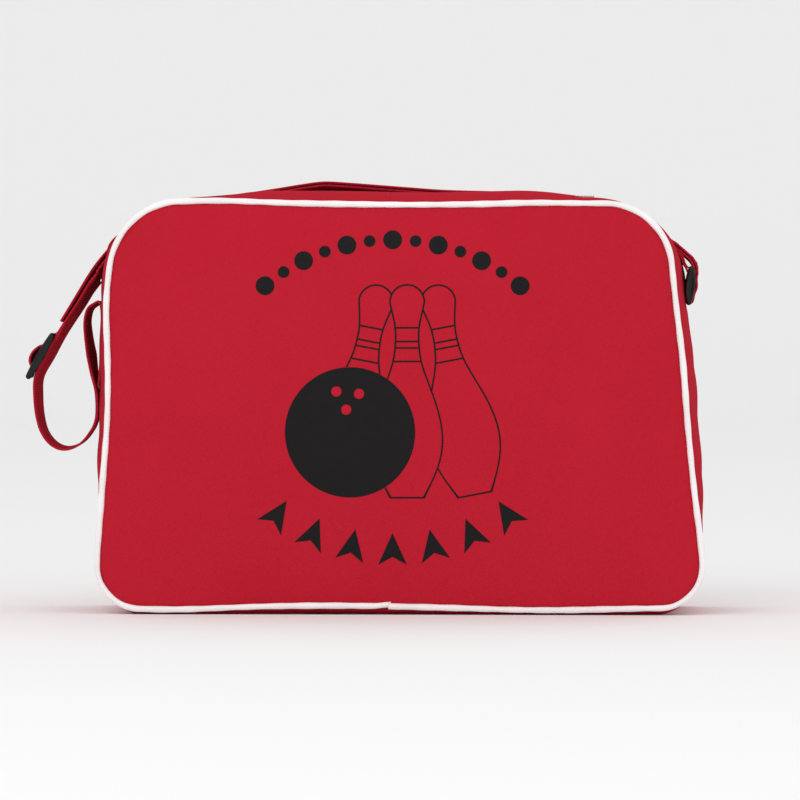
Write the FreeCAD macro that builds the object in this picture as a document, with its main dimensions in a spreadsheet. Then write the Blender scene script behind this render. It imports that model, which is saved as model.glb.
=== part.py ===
import FreeCAD, Part
import math
import os

import Sketcher
from FreeCAD import Placement, Rotation, Vector

# A soft zip-top shoulder bag that stands on its flat base.
# X runs across the bag, the front panel faces -Y, and +Z is up.
# The origin is on the floor under the middle of the base.

DOCUMENT = FreeCAD.newDocument("ShoulderBag")

# ---------------------------------------------------------------- driving dimensions, in mm

DIMENSIONS = {
    "seam_bottom_width": 403.0,
    "seam_top_width": 364.0,
    "top_lean": -7.0,
    "seam_bottom": 5.0,
    "seam_top": 272.0,
    "seam_half_depth": 52.0,
    "shoulder_half_depth": 44.0,
    "crest_half_depth": 26.0,
    "valley_half_depth": 12.0,
    "top_corner_radius": 44.0,
    "bottom_corner_radius": 30.0,
    "top_corner_growth": 40.0,
    "bottom_corner_growth": 12.0,
    "side_bulge": 9.0,
    "shoulder_rise": 2.5,
    "crest_rise": 6.0,
    "valley_rise": 5.0,
    "panel_crown": 8.0,
    "fabric": 1.6,
    "piping_radius": 2.0,
    "seam_play": 0.25,
    "lining_thickness": 0.6,
    "binding_width": 8.0,
    "binding_thickness": 1.2,
    "binding_corner_growth": 14.0,
    "print_film": 0.15,
    "body_gap": 0.35,
    "gusset_joint_height": 34.0,
    "lip_left": -112.0,
    "lip_right": 98.0,
    "zip_left": -128.0,
    "zip_right": 114.0,
    "zip_mouth_half": 8.0,
    "tape_thickness": 0.8,
    "tape_width": 13.4,
    "chain_width": 2.5,
    "chain_inner": 0.7,
    "chain_height": 2.4,
    "stop_length": 2.6,
    "stop_width": 4.2,
    "stop_height": 2.6,
    "slider_length": 12.0,
    "slider_width": 9.4,
    "slider_plate": 0.9,
    "slider_room": 3.0,
    "slider_post": 0.8,
    "slider_bridge_length": 8.0,
    "slider_bridge_height": 2.8,
    "slider_bridge_width": 2.0,
    "slider_leg": 1.2,
    "slider_beam": 0.8,
    "slider_flange": 0.9,
    "slider_flange_drop": 0.35,
    "slider_wedge": 2.4,
    "puller_length": 24.0,
    "puller_width": 7.0,
    "puller_thickness": 1.2,
    "puller_bar": 1.2,
    "puller_eye_length": 4.2,
    "puller_eye_width": 3.2,
    "base_board_length": 318.0,
    "base_board_depth": 84.0,
    "base_board_thickness": 2.0,
    "base_board_corner": 12.0,
    "base_board_height": 2.0,
    "pocket_width": 180.0,
    "pocket_height": 120.0,
    "pocket_low": 110.0,
    "pocket_corner": 14.0,
    "pocket_cloth": 0.7,
    "webbing_width": 38.0,
    "webbing_thickness": 1.3,
    "layer_spacing": 1.9,
    "glide_length": 34.0,
    "glide_width": 46.0,
    "glide_thickness": 3.0,
    "glide_slot_length": 9.5,
    "glide_slot_width": 39.6,
    "glide_bar": 5.0,
    "glide_round": 1.2,
    "glide_tilt": 60.0,
    "glide_x": -241.5,
    "glide_z": 170.5,
    "ring_height": 21.7,
    "ring_width": 47.0,
    "ring_thickness": 3.0,
    "ring_bar": 3.6,
    "ring_slot_width": 39.6,
    "ring_round": 1.2,
    "ring_x": 193.6,
    "ring_z": 217.4,
    "tab_thickness": 0.9,
    "tab_width": 36.0,
    "ball_radius": 43.0,
    "ball_x": -33.0,
    "ball_z": 121.0,
    "ball_hole_radius": 3.4,
    "pin_height": 141.5,
    "pin_head": 11.9,
    "pin_line": 1.1,
    "pin_front_x": 4.7,
    "pin_front_z": 77.4,
    "pin_rear_z": 79.5,
    "pin_spread": 44.8,
    "pin_tilt": 10.8,
    "dot_radius": 6.2,
    "dot_arc_radius": 132.0,
    "dot_arc_z": 116.0,
    "arrow_height": 21.0,
    "arrow_width": 19.0,
    "arrow_arc_radius": 137.0,
    "arrow_arc_z": 181.0,
    "print_centre_x": -5.0,
}


def make_sheet():
    """Put every driving dimension in a spreadsheet, with its word beside it."""
    sheet = DOCUMENT.addObject("Spreadsheet::Sheet", "Sizes")
    for row, (word, number) in enumerate(DIMENSIONS.items(), start=1):
        sheet.set(f"A{row}", word)
        sheet.set(f"B{row}", str(number))
        sheet.setAlias(f"B{row}", word)
    DOCUMENT.recompute()
    return sheet


SHEET = make_sheet()


def size(word):
    """One driving dimension, read back from the sheet."""
    return float(SHEET.get(word))


# ---------------------------------------------------------------- document helpers


def add_shape(name, shape, placement=None):
    """A sub-part whose shape is made with Part's own functions."""
    feature = DOCUMENT.addObject("Part::Feature", name)
    feature.Label = name
    feature.Shape = shape
    if placement is not None:
        feature.Placement = placement
    return feature


def add_box(name, length, width, height, corner):
    """A box sub-part whose sizes and lowest corner are expressions on the sheet."""
    box = DOCUMENT.addObject("Part::Box", name)
    box.Label = name
    for key, text in zip(("Length", "Width", "Height"), (length, width, height)):
        box.setExpression(key, text)
    for axis, text in zip("xyz", corner):
        box.setExpression(f"Placement.Base.{axis}", text)
    return box


def origin_plane(body, role):
    """The body's own origin plane with this role."""
    return [item for item in body.Origin.OriginFeatures if item.Role == role][0]


def centred_rectangle(body, name, role, width, height, lift="0", shift=("0", "0")):
    """A rectangle centred on its sketch, which is lifted and shifted off an origin plane."""
    sketch = body.newObject("Sketcher::SketchObject", name)
    sketch.AttachmentSupport = [(origin_plane(body, role), "")]
    sketch.MapMode = "FlatFace"
    sketch.setExpression("AttachmentOffset.Base.x", shift[0])
    sketch.setExpression("AttachmentOffset.Base.y", shift[1])
    sketch.setExpression("AttachmentOffset.Base.z", lift)
    corners = [Vector(-1, -1, 0), Vector(1, -1, 0), Vector(1, 1, 0), Vector(-1, 1, 0)]
    for start, end in zip(corners, corners[1:] + corners[:1]):
        sketch.addGeometry(Part.LineSegment(start * 10, end * 10), False)
    for edge in range(4):
        sketch.addConstraint(Sketcher.Constraint("Coincident", edge, 2, (edge + 1) % 4, 1))
    for edge, kind in enumerate(("Horizontal", "Vertical", "Horizontal", "Vertical")):
        sketch.addConstraint(Sketcher.Constraint(kind, edge))
    sketch.addConstraint(Sketcher.Constraint("Symmetric", 0, 1, 2, 1, -1, 1))
    across = sketch.addConstraint(Sketcher.Constraint("DistanceX", 0, 1, 0, 2, 20.0))
    upwards = sketch.addConstraint(Sketcher.Constraint("DistanceY", 1, 1, 1, 2, 20.0))
    sketch.setExpression(f"Constraints[{across}]", width)
    sketch.setExpression(f"Constraints[{upwards}]", height)
    return sketch


def pad(body, name, sketch, length, symmetric=True):
    """Pad a sketch by an expression, to both sides or along its normal."""
    feature = body.newObject("PartDesign::Pad", name)
    feature.Profile = sketch
    feature.setExpression("Length", length)
    feature.SideType = "Symmetric" if symmetric else "One side"
    body.Tip = feature
    return feature


def pocket(body, name, sketch):
    """Cut a sketch right through its body, both ways."""
    feature = body.newObject("PartDesign::Pocket", name)
    feature.Profile = sketch
    feature.Type = "ThroughAll"
    feature.Midplane = True
    body.Tip = feature
    return feature


def round_edges(body, name, base, radius):
    """Round every edge of the body's last feature."""
    DOCUMENT.recompute()
    feature = body.newObject("PartDesign::Fillet", name)
    feature.Base = (base, [])
    feature.UseAllEdges = True
    feature.setExpression("Radius", radius)
    body.Tip = feature
    return feature


def new_body(name):
    """An empty body with its label."""
    body = DOCUMENT.addObject("PartDesign::Body", name)
    body.Label = name
    return body


def mirror_depth(shape):
    """The same shape on the other side of the bag's middle plane."""
    return shape.mirror(Vector(0, 0, 0), Vector(0, 1, 0))


# ---------------------------------------------------------------- the bag's outline


def outline_corners(side, top, bottom):
    """The four apexes of the seam trapezoid, moved outwards by these three offsets."""
    low, high = size("seam_bottom"), size("seam_top")
    half_low = size("seam_bottom_width") / 2
    half_high = size("seam_top_width") / 2
    lean = size("top_lean")

    def edge_x(sign, height):
        share = (height - low) / (high - low)
        middle = lean * share
        half = half_low + (half_high - half_low) * share
        slope = math.atan2(half_low - half_high - sign * lean, high - low)
        return middle + sign * (half + side / math.cos(slope))

    floor, roof = low - bottom, high + top
    return [
        (edge_x(-1, floor), floor),
        (edge_x(1, floor), floor),
        (edge_x(1, roof), roof),
        (edge_x(-1, roof), roof),
    ]


def rounded_wire(corners, radii, depth):
    """A closed wire at Y = depth through the corners, each rounded by a tangent arc."""
    places = [Vector(x, depth, z) for x, z in corners]
    starts, middles, ends = [], [], []
    for index, apex in enumerate(places):
        back = (places[index - 1] - apex).normalize()
        ahead = (places[(index + 1) % len(places)] - apex).normalize()
        half_angle = back.getAngle(ahead) / 2
        radius = radii[index]
        reach = radius / math.tan(half_angle)
        bisector = (back + ahead).normalize()
        centre = apex + bisector * (radius / math.sin(half_angle))
        starts.append(apex + back * reach)
        middles.append(centre - bisector * radius)
        ends.append(apex + ahead * reach)
    edges = []
    for index in range(len(places)):
        following = (index + 1) % len(places)
        edges.append(Part.LineSegment(ends[index], starts[following]).toShape())
        edges.append(Part.Arc(starts[following], middles[following], ends[following]).toShape())
    return Part.Wire(edges)


def share_between(depth, words):
    """Read a table of sizes at the half depths of seam, shoulder, crest and valley."""
    stations = [
        (0.0, words[3]),
        (size("valley_half_depth"), words[3]),
        (size("crest_half_depth"), words[2]),
        (size("shoulder_half_depth"), words[1]),
        (size("seam_half_depth"), words[0]),
    ]
    near = abs(depth)
    for (low, first), (high, second) in zip(stations, stations[1:]):
        if near <= high:
            return first + (second - first) * (near - low) / (high - low)
    return words[0]


def gusset_section(depth, inset):
    """The gusset's outline at one depth: it bulges at the sides and stands flat below."""
    fullness = 1 - (depth / size("seam_half_depth")) ** 2
    side = size("side_bulge") * fullness - inset
    rises = (0.0, size("shoulder_rise"), size("crest_rise"), size("valley_rise"))
    top = share_between(depth, rises) - inset
    foot = size("seam_bottom")
    bottom = share_between(depth, (0.0, foot, foot, foot)) - inset
    upper = size("top_corner_radius") + size("top_corner_growth") * fullness - inset
    lower = size("bottom_corner_radius") + size("bottom_corner_growth") * fullness - inset
    radii = [lower, lower, upper, upper]
    return rounded_wire(outline_corners(side, top, bottom), radii, depth)


def gusset_depths(last):
    """Where the gusset's sections lie, from the front to the rear."""
    inner = [size(word) for word in ("shoulder_half_depth", "crest_half_depth", "valley_half_depth")]
    front = [-last] + [-depth for depth in inner]
    return front + [-depth for depth in reversed(front)]


def gusset_solid(last, inset):
    """The whole inside of the gusset, between its two end outlines."""
    wires = [gusset_section(depth, inset) for depth in gusset_depths(last)]
    return Part.makeLoft(wires, True, True)


def block(low, high):
    """A plain box between two corners, for cutting."""
    return Part.makeBox(*[b - a for a, b in zip(low, high)], Vector(*low))


FAR = 500.0
END_DEPTH = size("seam_half_depth") - size("piping_radius") - size("seam_play")
GAP = size("body_gap")
MOUTH = size("zip_mouth_half")
JOINT_HEIGHT = size("gusset_joint_height")
LIP_LEFT = size("lip_left")
LIP_RIGHT = size("lip_right")
ZIP_LEFT = size("zip_left")
ZIP_RIGHT = size("zip_right")


GUSSET_ROOM = gusset_solid(size("seam_half_depth"), size("fabric"))


def make_gusset():
    """Cut the gusset shell into the base strip, two side strips and two top strips."""
    shell = gusset_solid(END_DEPTH, 0.0).cut(GUSSET_ROOM)
    base = block((-FAR, -FAR, -FAR), (FAR, FAR, JOINT_HEIGHT))
    add_shape("gusset_bottom", shell.common(base))
    above = shell.cut(base)
    slot = block((ZIP_LEFT - 1, -MOUTH, JOINT_HEIGHT * 2), (ZIP_RIGHT + 1, MOUTH, FAR))
    left = block((-FAR, -FAR, JOINT_HEIGHT), (LIP_LEFT - GAP, FAR, FAR))
    right = block((LIP_RIGHT + GAP, -FAR, JOINT_HEIGHT), (FAR, FAR, FAR))
    add_shape("gusset_left", above.common(left).cut(slot))
    add_shape("gusset_right", above.common(right).cut(slot))
    front = block((LIP_LEFT, -FAR, JOINT_HEIGHT * 2), (LIP_RIGHT, -MOUTH, FAR))
    add_shape("top_strip_front", above.common(front))
    add_shape("top_strip_rear", mirror_depth(above.common(front)))


def seam_wire(inset, depth, growth=0.0):
    """The seam outline at one depth, moved inwards by an inset, with fuller upper corners."""
    corners = outline_corners(-inset, -inset, -inset)
    upper = size("top_corner_radius") + growth - inset
    lower = size("bottom_corner_radius") - inset
    return rounded_wire(corners, [lower, lower, upper, upper], depth)


def make_piping():
    """A round cord along each seam."""
    depth = -size("seam_half_depth")
    path = seam_wire(0.0, depth)
    start = path.Edges[0].Vertexes[0].Point
    ring = Part.Wire(Part.makeCircle(size("piping_radius"), start, Vector(1, 0, 0)))
    cord = Part.Wire(path.Edges).makePipeShell([ring], True, True)
    add_shape("front_piping", cord)
    add_shape("rear_piping", mirror_depth(cord))


def make_binding():
    """The tape that covers the raw seam edges inside, standing clear of the top strips."""
    fabric = size("fabric")
    front = -END_DEPTH
    back = front + size("binding_width")
    first = fabric + size("seam_play")
    growth = size("binding_corner_growth")
    outer = Part.Face(seam_wire(first, front, growth))
    inner = Part.Face(seam_wire(first + size("binding_thickness"), front, growth))
    band = outer.cut(inner).extrude(Vector(0, back - front, 0))
    add_shape("front_seam_binding", band)
    add_shape("rear_seam_binding", mirror_depth(band))


# ---------------------------------------------------------------- panels, linings and print


def crown_face(depth):
    """The crowned panel surface: no crown along the seams and most of it in the middle."""
    low, high = size("seam_bottom"), size("seam_top")
    middle_height, half_height = (low + high) / 2, (high - low) / 2
    rows = []
    for step_z in range(-5, 6):
        share_z = step_z / 4.8
        height = middle_height + half_height * share_z
        left = outline_corners(0, height - high, 0)[3][0]
        right = outline_corners(0, height - high, 0)[2][0]
        row = []
        for step_x in range(-7, 8):
            share_x = step_x / 6.8
            place = (left + right) / 2 + (right - left) / 2 * share_x
            crown = (1 - abs(share_x) ** 3) * (1 - abs(share_z) ** 3)
            row.append(Vector(place, -depth - size("panel_crown") * crown, height))
        rows.append(row)
    surface = Part.BSplineSurface()
    surface.interpolate(rows)
    return surface.toShape()


def prism(wire):
    """A deep prism through the front panel, over a closed wire at any depth."""
    face = Part.Face(wire)
    face.translate(Vector(0, -face.BoundBox.YMin - 2 * size("seam_half_depth"), 0))
    return face.extrude(Vector(0, 2 * size("seam_half_depth"), 0))


PANEL_DEPTH = size("seam_half_depth") + size("fabric") / 2


def crowned_sheet(outside, thickness, wire):
    """A sheet that follows the crown, from its outer depth inwards, cut to an outline."""
    face = crown_face(outside)
    return face.extrude(Vector(0, thickness, 0)).common(prism(wire))


def make_panels():
    """Both panels and their linings."""
    fabric = size("fabric")
    edge = size("piping_radius") + size("seam_play")
    panel = crowned_sheet(PANEL_DEPTH, fabric, seam_wire(edge, 0))
    add_shape("front_panel", panel)
    add_shape("rear_panel", mirror_depth(panel))
    inside = fabric + GAP + edge + size("binding_thickness") + size("seam_play")
    lining_depth = PANEL_DEPTH - fabric - size("seam_play")
    lining = crowned_sheet(lining_depth, size("lining_thickness"), seam_wire(inside, 0))
    add_shape("front_lining", lining)
    add_shape("rear_lining", mirror_depth(lining))


def film(prisms):
    """A thin print film on the front panel, cut to a set of prisms."""
    outside = PANEL_DEPTH + size("print_film") + size("seam_play") / 5
    sheet = crown_face(outside).extrude(Vector(0, size("print_film"), 0))
    return Part.makeCompound([sheet.common(item) for item in prisms])


def circle_prism(x, z, radius):
    """A round prism through the front panel."""
    return prism(Part.Wire(Part.makeCircle(radius, Vector(x, 0, z), Vector(0, 1, 0))))


# A tenpin's half width at a level above its foot, both as shares of its height.
PIN_OUTLINE = (
    (0.0, 0.082),
    (0.098, 0.128),
    (0.175, 0.156),
    (0.268, 0.169),
    (0.368, 0.158),
    (0.445, 0.137),
    (0.557, 0.096),
    (0.638, 0.070),
    (0.73, 0.058),
    (0.8, 0.060),
    (0.869, 0.074),
)
PIN_BANDS = (0.635, 0.698, 0.728, 0.792)


def pin_wire(inset):
    """A closed pin outline standing on the sketch origin, moved inwards by an inset."""
    height, head = size("pin_height"), size("pin_head")
    right = [Vector(half * height - inset, 0, share * height) for share, half in PIN_OUTLINE]
    right[0].z = inset
    right.append(Vector(head - inset, 0, height - head))
    left = [Vector(-point.x, 0, point.z) for point in reversed(right)]
    side, other = Part.BSplineCurve(), Part.BSplineCurve()
    side.interpolate(right)
    other.interpolate(left)
    crown = Part.Arc(right[-1], Vector(0, 0, height - inset), left[0])
    foot = Part.LineSegment(left[-1], right[0])
    return Part.Wire([item.toShape() for item in (side, crown, other, foot)])


# finger holes of the ball, from its middle
BALL_HOLES = ((-9.0, 27.0), (6.0, 25.5), (-2.5, 15.0))
DOT_STEP = 6.6
SMALL_DOT = 0.62
ARROW_STEP = 11.2


def make_print():
    """Ball, three pins, a row of dots and a row of arrows in black transfer film."""
    middle = size("print_centre_x")
    ball_x, ball_z = size("ball_x"), size("ball_z")
    ball = circle_prism(ball_x, ball_z, size("ball_radius"))
    for shift_x, shift_z in BALL_HOLES:
        ball = ball.cut(circle_prism(ball_x + shift_x, ball_z + shift_z, size("ball_hole_radius")))
    add_shape("print_ball", film([ball]))

    clear = circle_prism(ball_x, ball_z, size("ball_radius") + size("print_film"))
    hidden = lower_prism(ball_z)
    tilt = size("pin_tilt")
    front = (size("pin_front_x"), size("pin_front_z"), 0.0)
    right = (size("pin_front_x") + size("pin_spread"), size("pin_rear_z"), -tilt)
    left = (size("pin_front_x") - size("pin_spread"), size("pin_rear_z"), tilt)
    pins, covered = [], []
    for foot_x, foot_z, turn in (front, left, right):
        place = Placement(Vector(foot_x, 0, foot_z), Rotation(Vector(0, 1, 0), turn))
        outside = prism(pin_wire(0.0).transformed(place.toMatrix()))
        line = outside.cut(prism(pin_wire(size("pin_line")).transformed(place.toMatrix())))
        bands = pin_bands(place).common(outside)
        nearer = [clear] + covered + ([hidden] if turn > 0 else [])
        pins.append(line.fuse(bands).cut(nearer))
        covered.append(outside)
    add_shape("print_pins", film(pins))

    radius, level = size("dot_arc_radius"), size("dot_arc_z")
    dots = []
    for step in range(-6, 7):
        angle = math.radians(DOT_STEP * step)
        shrink = 1.0 if step % 2 == 0 else SMALL_DOT
        place = (middle + radius * math.sin(angle), level + radius * math.cos(angle))
        dots.append(circle_prism(place[0], place[1], size("dot_radius") * shrink))
    add_shape("print_dots", film(dots))

    radius, level = size("arrow_arc_radius"), size("arrow_arc_z")
    arrows = []
    for step in range(-3, 4):
        angle = math.radians(ARROW_STEP * step)
        centre = Vector(middle + radius * math.sin(angle), 0, level - radius * math.cos(angle))
        arrows.append(arrow_prism(centre, -math.degrees(angle)))
    add_shape("print_arrows", film(arrows))


def lower_prism(level):
    """A block through the front panel that holds everything below a level."""
    reach = size("seam_bottom_width") / 2
    corners = [Vector(-reach, 0, 0), Vector(reach, 0, 0), Vector(reach, 0, level), Vector(-reach, 0, level)]
    return prism(Part.makePolygon(corners + corners[:1]))


def pin_bands(place):
    """The neck bands of a pin, as thin bars across it."""
    height, line = size("pin_height"), size("pin_line")
    bars = []
    for share in PIN_BANDS:
        level = height * share
        corners = [
            Vector(-height / 5, 0, level),
            Vector(height / 5, 0, level),
            Vector(height / 5, 0, level + line),
            Vector(-height / 5, 0, level + line),
        ]
        wire = Part.makePolygon(corners + corners[:1])
        bars.append(prism(wire.transformed(place.toMatrix())))
    return bars[0].multiFuse(bars[1:])


def arrow_prism(centre, turn):
    """A bold dart that points up the bag, like the aiming marks on a lane."""
    height, width = size("arrow_height"), size("arrow_width")
    corners = [
        Vector(0, 0, height / 2),
        Vector(width / 2, 0, -height / 2),
        Vector(0, 0, -height / 4),
        Vector(-width / 2, 0, -height / 2),
    ]
    wire = Part.makePolygon(corners + corners[:1])
    place = Placement(centre, Rotation(Vector(0, 1, 0), turn))
    return prism(wire.transformed(place.toMatrix()))


# ---------------------------------------------------------------- inside


def make_base_board():
    """A stiff board with rounded corners that keeps the base flat."""
    body = new_body("base_board")
    lift = "Sizes.base_board_height"
    outline = centred_rectangle(
        body, "BoardOutline", "XY_Plane", "Sizes.base_board_length", "Sizes.base_board_depth", lift
    )
    board = pad(body, "BoardPad", outline, "Sizes.base_board_thickness", False)
    DOCUMENT.recompute()
    upright = [
        f"Edge{number}"
        for number, edge in enumerate(board.Shape.Edges, start=1)
        if abs(edge.tangentAt(edge.FirstParameter).z) > 0.9
    ]
    corners = body.newObject("PartDesign::Fillet", "BoardCorners")
    corners.Base = (board, upright)
    corners.setExpression("Radius", "Sizes.base_board_corner")
    body.Tip = corners


def make_pocket():
    """A slip pocket: one layer of lining cloth sewn flat on the rear lining, open at its top."""
    half, low = size("pocket_width") / 2, size("pocket_low")
    middle = size("top_lean") / 2
    high = low + size("pocket_height")
    corners = [(middle - half, low), (middle + half, low), (middle + half, high), (middle - half, high)]
    radii = [size("pocket_corner")] * 2 + [size("pocket_corner") / 4] * 2
    depth = PANEL_DEPTH - size("fabric") - size("lining_thickness") - 2 * size("seam_play")
    cloth = crowned_sheet(depth, size("pocket_cloth"), rounded_wire(corners, radii, 0))
    add_shape("inner_pocket", mirror_depth(cloth))


# ---------------------------------------------------------------- zip

# The tapes are sewn under the top strips, so the strips' inner face gives the zip's height.
ZIP_TOP = "(Sizes.seam_top + Sizes.valley_rise - Sizes.fabric)"
TAPE_LOW = f"({ZIP_TOP} - Sizes.tape_thickness)"
CHAIN_MIDDLE = f"({ZIP_TOP} - Sizes.tape_thickness / 2)"
CHAIN_LOW = f"({CHAIN_MIDDLE} - Sizes.chain_height / 2)"
ZIP_HEIGHT = (
    size("seam_top") + size("valley_rise") - size("fabric") - size("tape_thickness") / 2
)
SLIDER_X = size("lip_right") + GAP + size("slider_length") / 2
STOP_ROOM = 1.0
# the puller's end bar turns midway between the slider's top plate and the bridge's beam
BEAM = size("slider_beam")
PLATE_TOP = ZIP_HEIGHT + size("slider_room") / 2 + size("slider_plate")
PULLER_HEIGHT = PLATE_TOP + (size("slider_bridge_height") - BEAM) / 2


def make_zip_halves():
    """Each lip's tape and its half of the chain."""
    length = "Sizes.lip_right - Sizes.lip_left"
    tape = ("Sizes.tape_width", "Sizes.tape_thickness")
    chain = ("Sizes.chain_width", "Sizes.chain_height")
    rear_tape = "Sizes.chain_inner + Sizes.chain_width"
    add_box("zip_tape_rear", length, *tape, ("Sizes.lip_left", rear_tape, TAPE_LOW))
    add_box("zip_teeth_rear", length, *chain, ("Sizes.lip_left", "Sizes.chain_inner", CHAIN_LOW))
    front_tape = "-Sizes.chain_inner - Sizes.chain_width - Sizes.tape_width"
    front_chain = "-Sizes.chain_inner - Sizes.chain_width"
    add_box("zip_tape_front", length, *tape, ("Sizes.lip_left", front_tape, TAPE_LOW))
    add_box("zip_teeth_front", length, *chain, ("Sizes.lip_left", front_chain, CHAIN_LOW))


def make_zip_ends():
    """The fixed end of the zip at each side: two tapes and two short chains in one piece."""
    tape_low = ZIP_HEIGHT - size("tape_thickness") / 2
    chain_low = ZIP_HEIGHT - size("chain_height") / 2
    inner = size("chain_inner")
    chain_outer = inner + size("chain_width")
    tape_outer = chain_outer + size("tape_width")
    past_stop = size("stop_length") + STOP_ROOM
    ends = (
        ("zip_end_left", ZIP_LEFT, LIP_LEFT - GAP, ZIP_LEFT + past_stop, LIP_LEFT - GAP),
        ("zip_end_right", LIP_RIGHT + GAP, ZIP_RIGHT, LIP_RIGHT + GAP, ZIP_RIGHT - past_stop),
    )
    for name, low, high, chain_start, chain_stop in ends:
        pieces = []
        for sign in (-1, 1):
            tape = sorted((sign * chain_outer, sign * tape_outer))
            chain = sorted((sign * inner, sign * chain_outer))
            tape_high = tape_low + size("tape_thickness")
            chain_high = chain_low + size("chain_height")
            pieces.append(block((low, tape[0], tape_low), (high, tape[1], tape_high)))
            pieces.append(block((chain_start, chain[0], chain_low), (chain_stop, chain[1], chain_high)))
        joined = pieces[0].multiFuse(pieces[1:]).removeSplitter()
        add_shape(name, joined.cut(gusset_solid(END_DEPTH, 0.0).cut(GUSSET_ROOM)))


def make_zip_stops():
    """Two small clips past the closed end, and one staple across the open end."""
    low = ZIP_HEIGHT - size("stop_height") / 2
    high = ZIP_HEIGHT + size("stop_height") / 2
    length, width = size("stop_length"), size("stop_width")
    inner = size("chain_inner") / 2
    clips = []
    for sign in (-1, 1):
        span = sorted((sign * inner, sign * (size("chain_inner") + size("chain_width"))))
        clips.append(block((ZIP_RIGHT - length, span[0], low), (ZIP_RIGHT, span[1], high)))
    add_shape("zip_closed_stops", Part.makeCompound(clips))
    staple = block((ZIP_LEFT, -width / 2 - inner, low), (ZIP_LEFT + length, width / 2 + inner, high))
    add_shape("zip_open_stop", staple)


def make_slider():
    """A zip slider: two flanged plates, the wedge between them, and the bridge on top."""
    body = new_body("zip_slider")
    room, plate = "Sizes.slider_room", "Sizes.slider_plate"
    length, width = "Sizes.slider_length", "Sizes.slider_width"
    wedge, flange = "Sizes.slider_wedge", "Sizes.slider_flange"
    post = centred_rectangle(
        body, "WedgeOutline", "XY_Plane", wedge, "Sizes.slider_post", "0", (f"({length} - {wedge}) / 2", "0")
    )
    pad(body, "Wedge", post, f"{room} + {plate}")
    for name, sign in (("Lower", "-1"), ("Upper", "1")):
        lift = f"{sign} * ({room} + {plate}) / 2"
        outline = centred_rectangle(body, f"{name}Outline", "XY_Plane", length, width, lift)
        pad(body, f"{name}Plate", outline, plate)
        drop = f"{sign} * ({room} / 2 - Sizes.slider_flange_drop)"
        for side, way in (("Front", "-1"), ("Rear", "1")):
            shift = ("0", f"{way} * ({width} - {flange}) / 2")
            lip = centred_rectangle(
                body, f"{name}{side}Flange", "XY_Plane", length, flange, drop, shift
            )
            pad(body, f"{name}{side}Lip", lip, flange)
    top = f"{room} / 2 + {plate}"
    rise, span, leg = "Sizes.slider_bridge_height", "Sizes.slider_bridge_length", "Sizes.slider_leg"
    for name, way in (("Left", "-1"), ("Right", "1")):
        shift = (f"{way} * ({span} - {leg}) / 2", "0")
        foot = centred_rectangle(
            body, f"Bridge{name}Outline", "XY_Plane", leg, "Sizes.slider_bridge_width",
            f"{top} + {rise} / 2 - {plate} / 4", shift,
        )
        pad(body, f"Bridge{name}Leg", foot, f"{rise} + {plate} / 2")
    beam = "Sizes.slider_beam"
    over = centred_rectangle(
        body, "BeamOutline", "XY_Plane", span, "Sizes.slider_bridge_width", f"{top} + {rise} - {beam} / 2"
    )
    pad(body, "Beam", over, beam)
    body.Placement = Placement(Vector(SLIDER_X, 0, ZIP_HEIGHT), Rotation())


# the grip hole: its middle and length along the puller, and its width, as shares
GRIP_PLACE = 0.62
GRIP_LENGTH = 0.42
GRIP_WIDTH = 0.4


def make_puller():
    """A flat pull tab whose end bar lies under the bridge, with its eye round the bridge's leg."""
    body = new_body("zip_puller")
    thick, bar = "Sizes.puller_thickness", "Sizes.puller_bar"
    length, width = "Sizes.puller_length", "Sizes.puller_width"
    eye = "Sizes.puller_eye_length"
    middle = (f"({length} - {bar}) / 2", "0")
    outline = centred_rectangle(body, "TabOutline", "XY_Plane", length, width, "0", middle)
    pad(body, "Tab", outline, thick)
    eye_middle = (f"({bar} + {eye}) / 2", "0")
    hole = centred_rectangle(
        body, "EyeOutline", "XY_Plane", eye, "Sizes.puller_eye_width", "0", eye_middle
    )
    pocket(body, "Eye", hole)
    grip_middle = (f"{length} * {GRIP_PLACE}", "0")
    grip = centred_rectangle(
        body, "GripOutline", "XY_Plane", f"{length} * {GRIP_LENGTH}", f"{width} * {GRIP_WIDTH}",
        "0", grip_middle,
    )
    pocket(body, "Grip", grip)
    body.Placement = Placement(Vector(SLIDER_X, 0, PULLER_HEIGHT), Rotation())


# ---------------------------------------------------------------- webbing


def unit(angle_deg):
    """A unit vector in the X-Z plane at an angle from +X towards +Z."""
    angle = math.radians(angle_deg)
    return Vector(math.cos(angle), 0, math.sin(angle))


def ribbon(stations, layer=0.0, width="webbing_width", thickness="webbing_thickness"):
    """Webbing through stations (x, y, z): flat rectangles joined by ruled faces.

    Its width runs along Y and it turns about Y only. layer moves it off the line to its left."""
    line = [Vector(*station) for station in stations]
    half_width = size(width) / 2
    half_thick = size(thickness) / 2
    wires = []
    for index, place in enumerate(line):
        before = line[max(index - 1, 0)]
        after = line[min(index + 1, len(line) - 1)]
        first, second = place - before, after - place
        first.y = 0
        second.y = 0
        ways = [way.normalize() for way in (first, second) if way.Length > 1e-6]
        along = sum(ways[1:], ways[0]).normalize()
        stretch = 1 / max(along.dot(ways[0]), 0.5)
        normal = Vector(-along.z, 0, along.x)
        middle = place + normal * layer * stretch
        out = normal * half_thick * stretch
        side = Vector(0, half_width, 0)
        corners = [middle - side - out, middle + side - out, middle + side + out, middle - side + out]
        wires.append(Part.makePolygon(corners + corners[:1]))
    runs = [Part.makeLoft([first, second], True, True) for first, second in zip(wires, wires[1:])]
    return runs[0].multiFuse(runs[1:]) if len(runs) > 1 else runs[0]


UPWARD = unit(size("glide_tilt"))
OUTWARD = unit(size("glide_tilt") + 90)
GLIDE = Vector(size("glide_x"), 0, size("glide_z"))
LAYERS = size("layer_spacing")


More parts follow.
